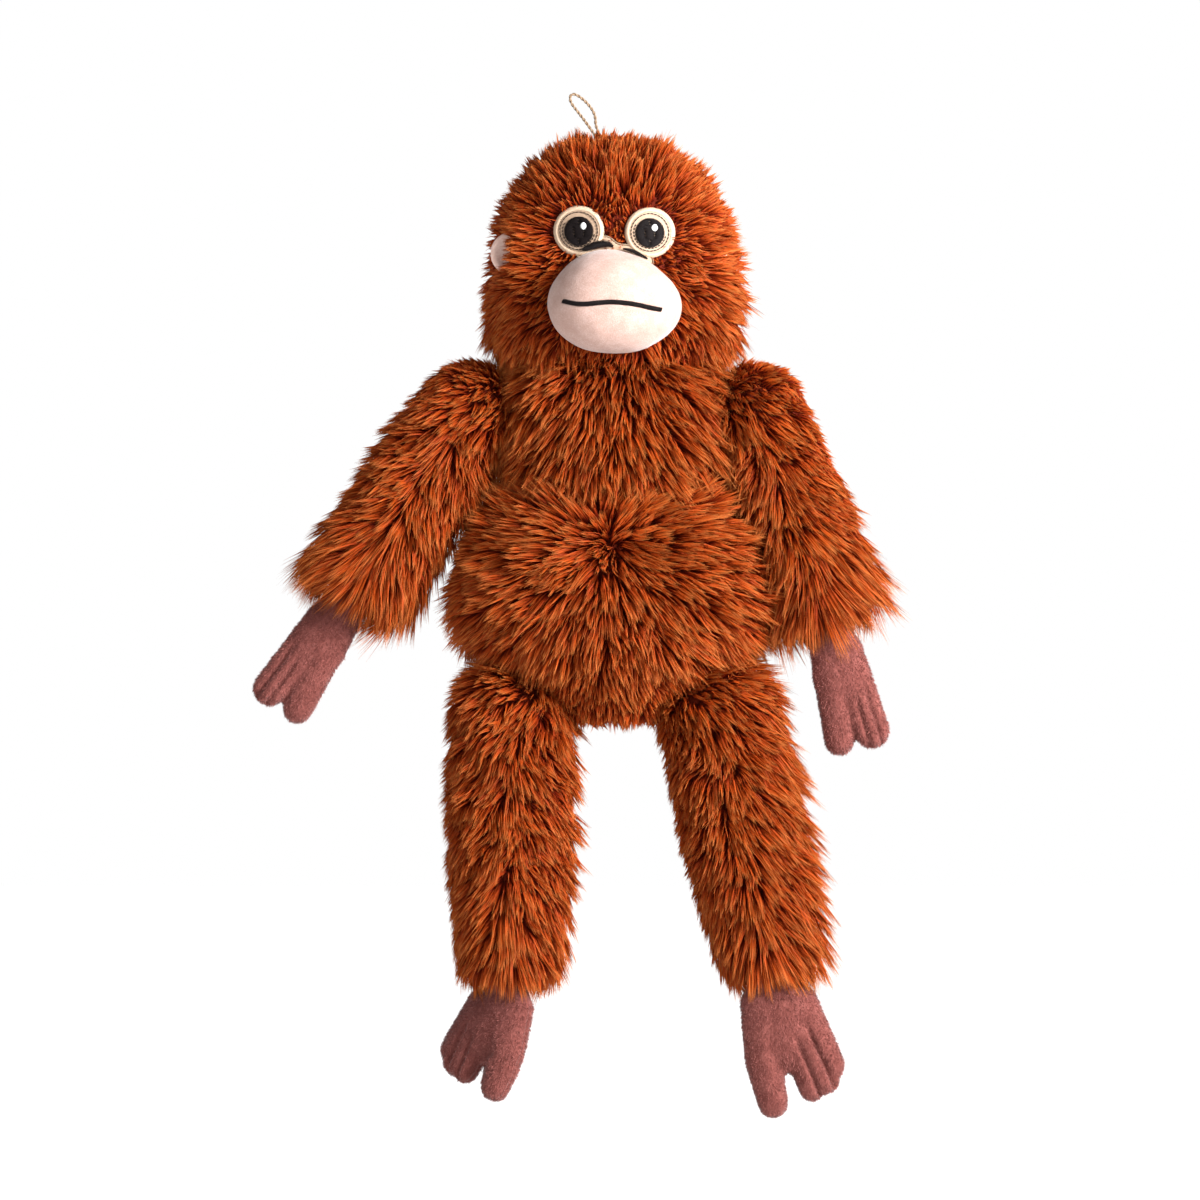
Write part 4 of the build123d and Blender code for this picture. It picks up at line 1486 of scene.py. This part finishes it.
# %% Nose
nose_line = smooth_path(NOSE_OUTLINE + NOSE_OUTLINE[:1], 0.5 * MM)[:-1]
nose_outline = [(point.x, point.z) for point in nose_line]
nose = filled_patch("nose_satin", nose_outline, 3.4 * MM)
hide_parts("nose_patch")
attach(nose, "head")
nose_rim = rim_stitches(nose_outline, 0.9 * MM, 3.5 * MM, 0.55 * MM)
sewn("nose_rim", nose_rim, 0.5 * MM, cream_thread, "head", "cream_satin")


def on_nose(x, z):
    return on_patch(x, z, 5.6 * MM)


crescent = smooth_path([(-18.0, -59.6), (-14.0, -58.4), (-10.0, -56.9), (-6.2, -56.2), (-3.0, -56.4),
                        (-0.6, -58.2)], 0.4 * MM)
stroke = smooth_path([(4.6, -59.0), (8.5, -59.6), (12.5, -61.4), (18.6, -64.8)], 0.4 * MM)
nostrils = satin(crescent, lambda share: (1.2 + 3.4 * math.sin(math.pi * share) ** 0.7) * MM, on_nose,
                 0.1 * MM, 0.6 * MM)
nostrils += satin(stroke, lambda share: (0.9 + 1.5 * math.sin(math.pi * share)) * MM, on_nose,
                  0.1 * MM, 0.6 * MM)
sewn("nostril_thread", nostrils, 0.52 * MM, black_thread, "head", "black_thread", "nostril_stitching")

# %% [markdown]
# The back of a stuffed toy is closed by hand, last of all: a row of short ladder stitches pulls two
# edges together under the pile.

# %% Closing seam
rust_thread = thread_material("rust_thread", colour(0.16, 0.03, 0.01), colour(0.34, 0.08, 0.025), 0.6)
seam_low, seam_high = node_box("closing_seam")
ladder = []
for rung in range(9):
    z = seam_high.z - (seam_high.z - seam_low.z) * (rung + 0.5) / 9
    y = -belly_oval.front(0.0, z) + 0.3 * MM
    slant = 0.8 * MM * (1 if rung % 2 else -1)
    start, end = Vector((-3 * MM, y, z - slant)), Vector((3 * MM, y, z + slant))
    ladder.append((start, end, Vector((0, 1, 0)), 0.8 * MM))
sewn("seam_ladder", ladder, 0.9 * MM, rust_thread, "torso", "rust_thread", "closing_seam")

# %% [markdown]
# A pale floor just below the feet, a world that is pale at the horizon and darker overhead on the
# animal's right, one large soft light from its left and a weak one from the front: one side of the
# pile glows orange and the other falls to maroon.

# %% Floor, world and lights
FLOOR_GAP = 12 * MM
FLOOR_HALF = 8.0
floor_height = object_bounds()[0][2] - FLOOR_GAP
floor_material, _, _ = new_material("pale_floor", 0.9, base_color=colour(0.30, 0.30, 0.30),
                                    emission_color=colour(1, 1, 1), emission_strength=0.86)
floor_corners = [(x * FLOOR_HALF, y * FLOOR_HALF, floor_height)
                 for x, y in ((-1, -1), (1, -1), (1, 1), (-1, 1))]
floor = mesh_object("floor", floor_corners, [(0, 1, 2, 3)], floor_material, False)
if floor.data.polygons[0].normal.z < 0:
    floor.data.flip_normals()

world = bpy.data.worlds.new("studio")
bpy.context.scene.world = world
world.use_nodes = True
sky = Weaver(world.node_tree)
right, away, up = sky.parts(sky.node("ShaderNodeTexCoord", out=0))
bright_side = (right * 0.75 + away * 0.65 + 0.55) * 0.87
near_horizon = 1.75 - 5.0 * up
glow = sky.node("ShaderNodeValToRGB", {"stops": [(0.0, colour(0.10, 0.09, 0.10)), (1.0, colour(1, 1, 1))]},
                {"Fac": bright_side.maths("MAXIMUM", near_horizon)})
plug(world.node_tree, world.node_tree.nodes["Background"].inputs["Color"], glow)


def soft_light(name, place, size, power):
    data = bpy.data.lights.new(name, "AREA")
    data.size = size
    data.energy = power
    lamp = bpy.data.objects.new(name, data)
    lamp.location = place
    lamp.rotation_euler = (aim - Vector(place)).to_track_quat("-Z", "Y").to_euler()
    bpy.context.scene.collection.objects.link(lamp)


soft_light("window", (1.6, -1.35, 0.45), 0.8, 163.0)
soft_light("room", (-0.6, -2.6, 0.4), 1.6, 8.0)
bpy.context.scene.view_settings.view_transform = "Standard"
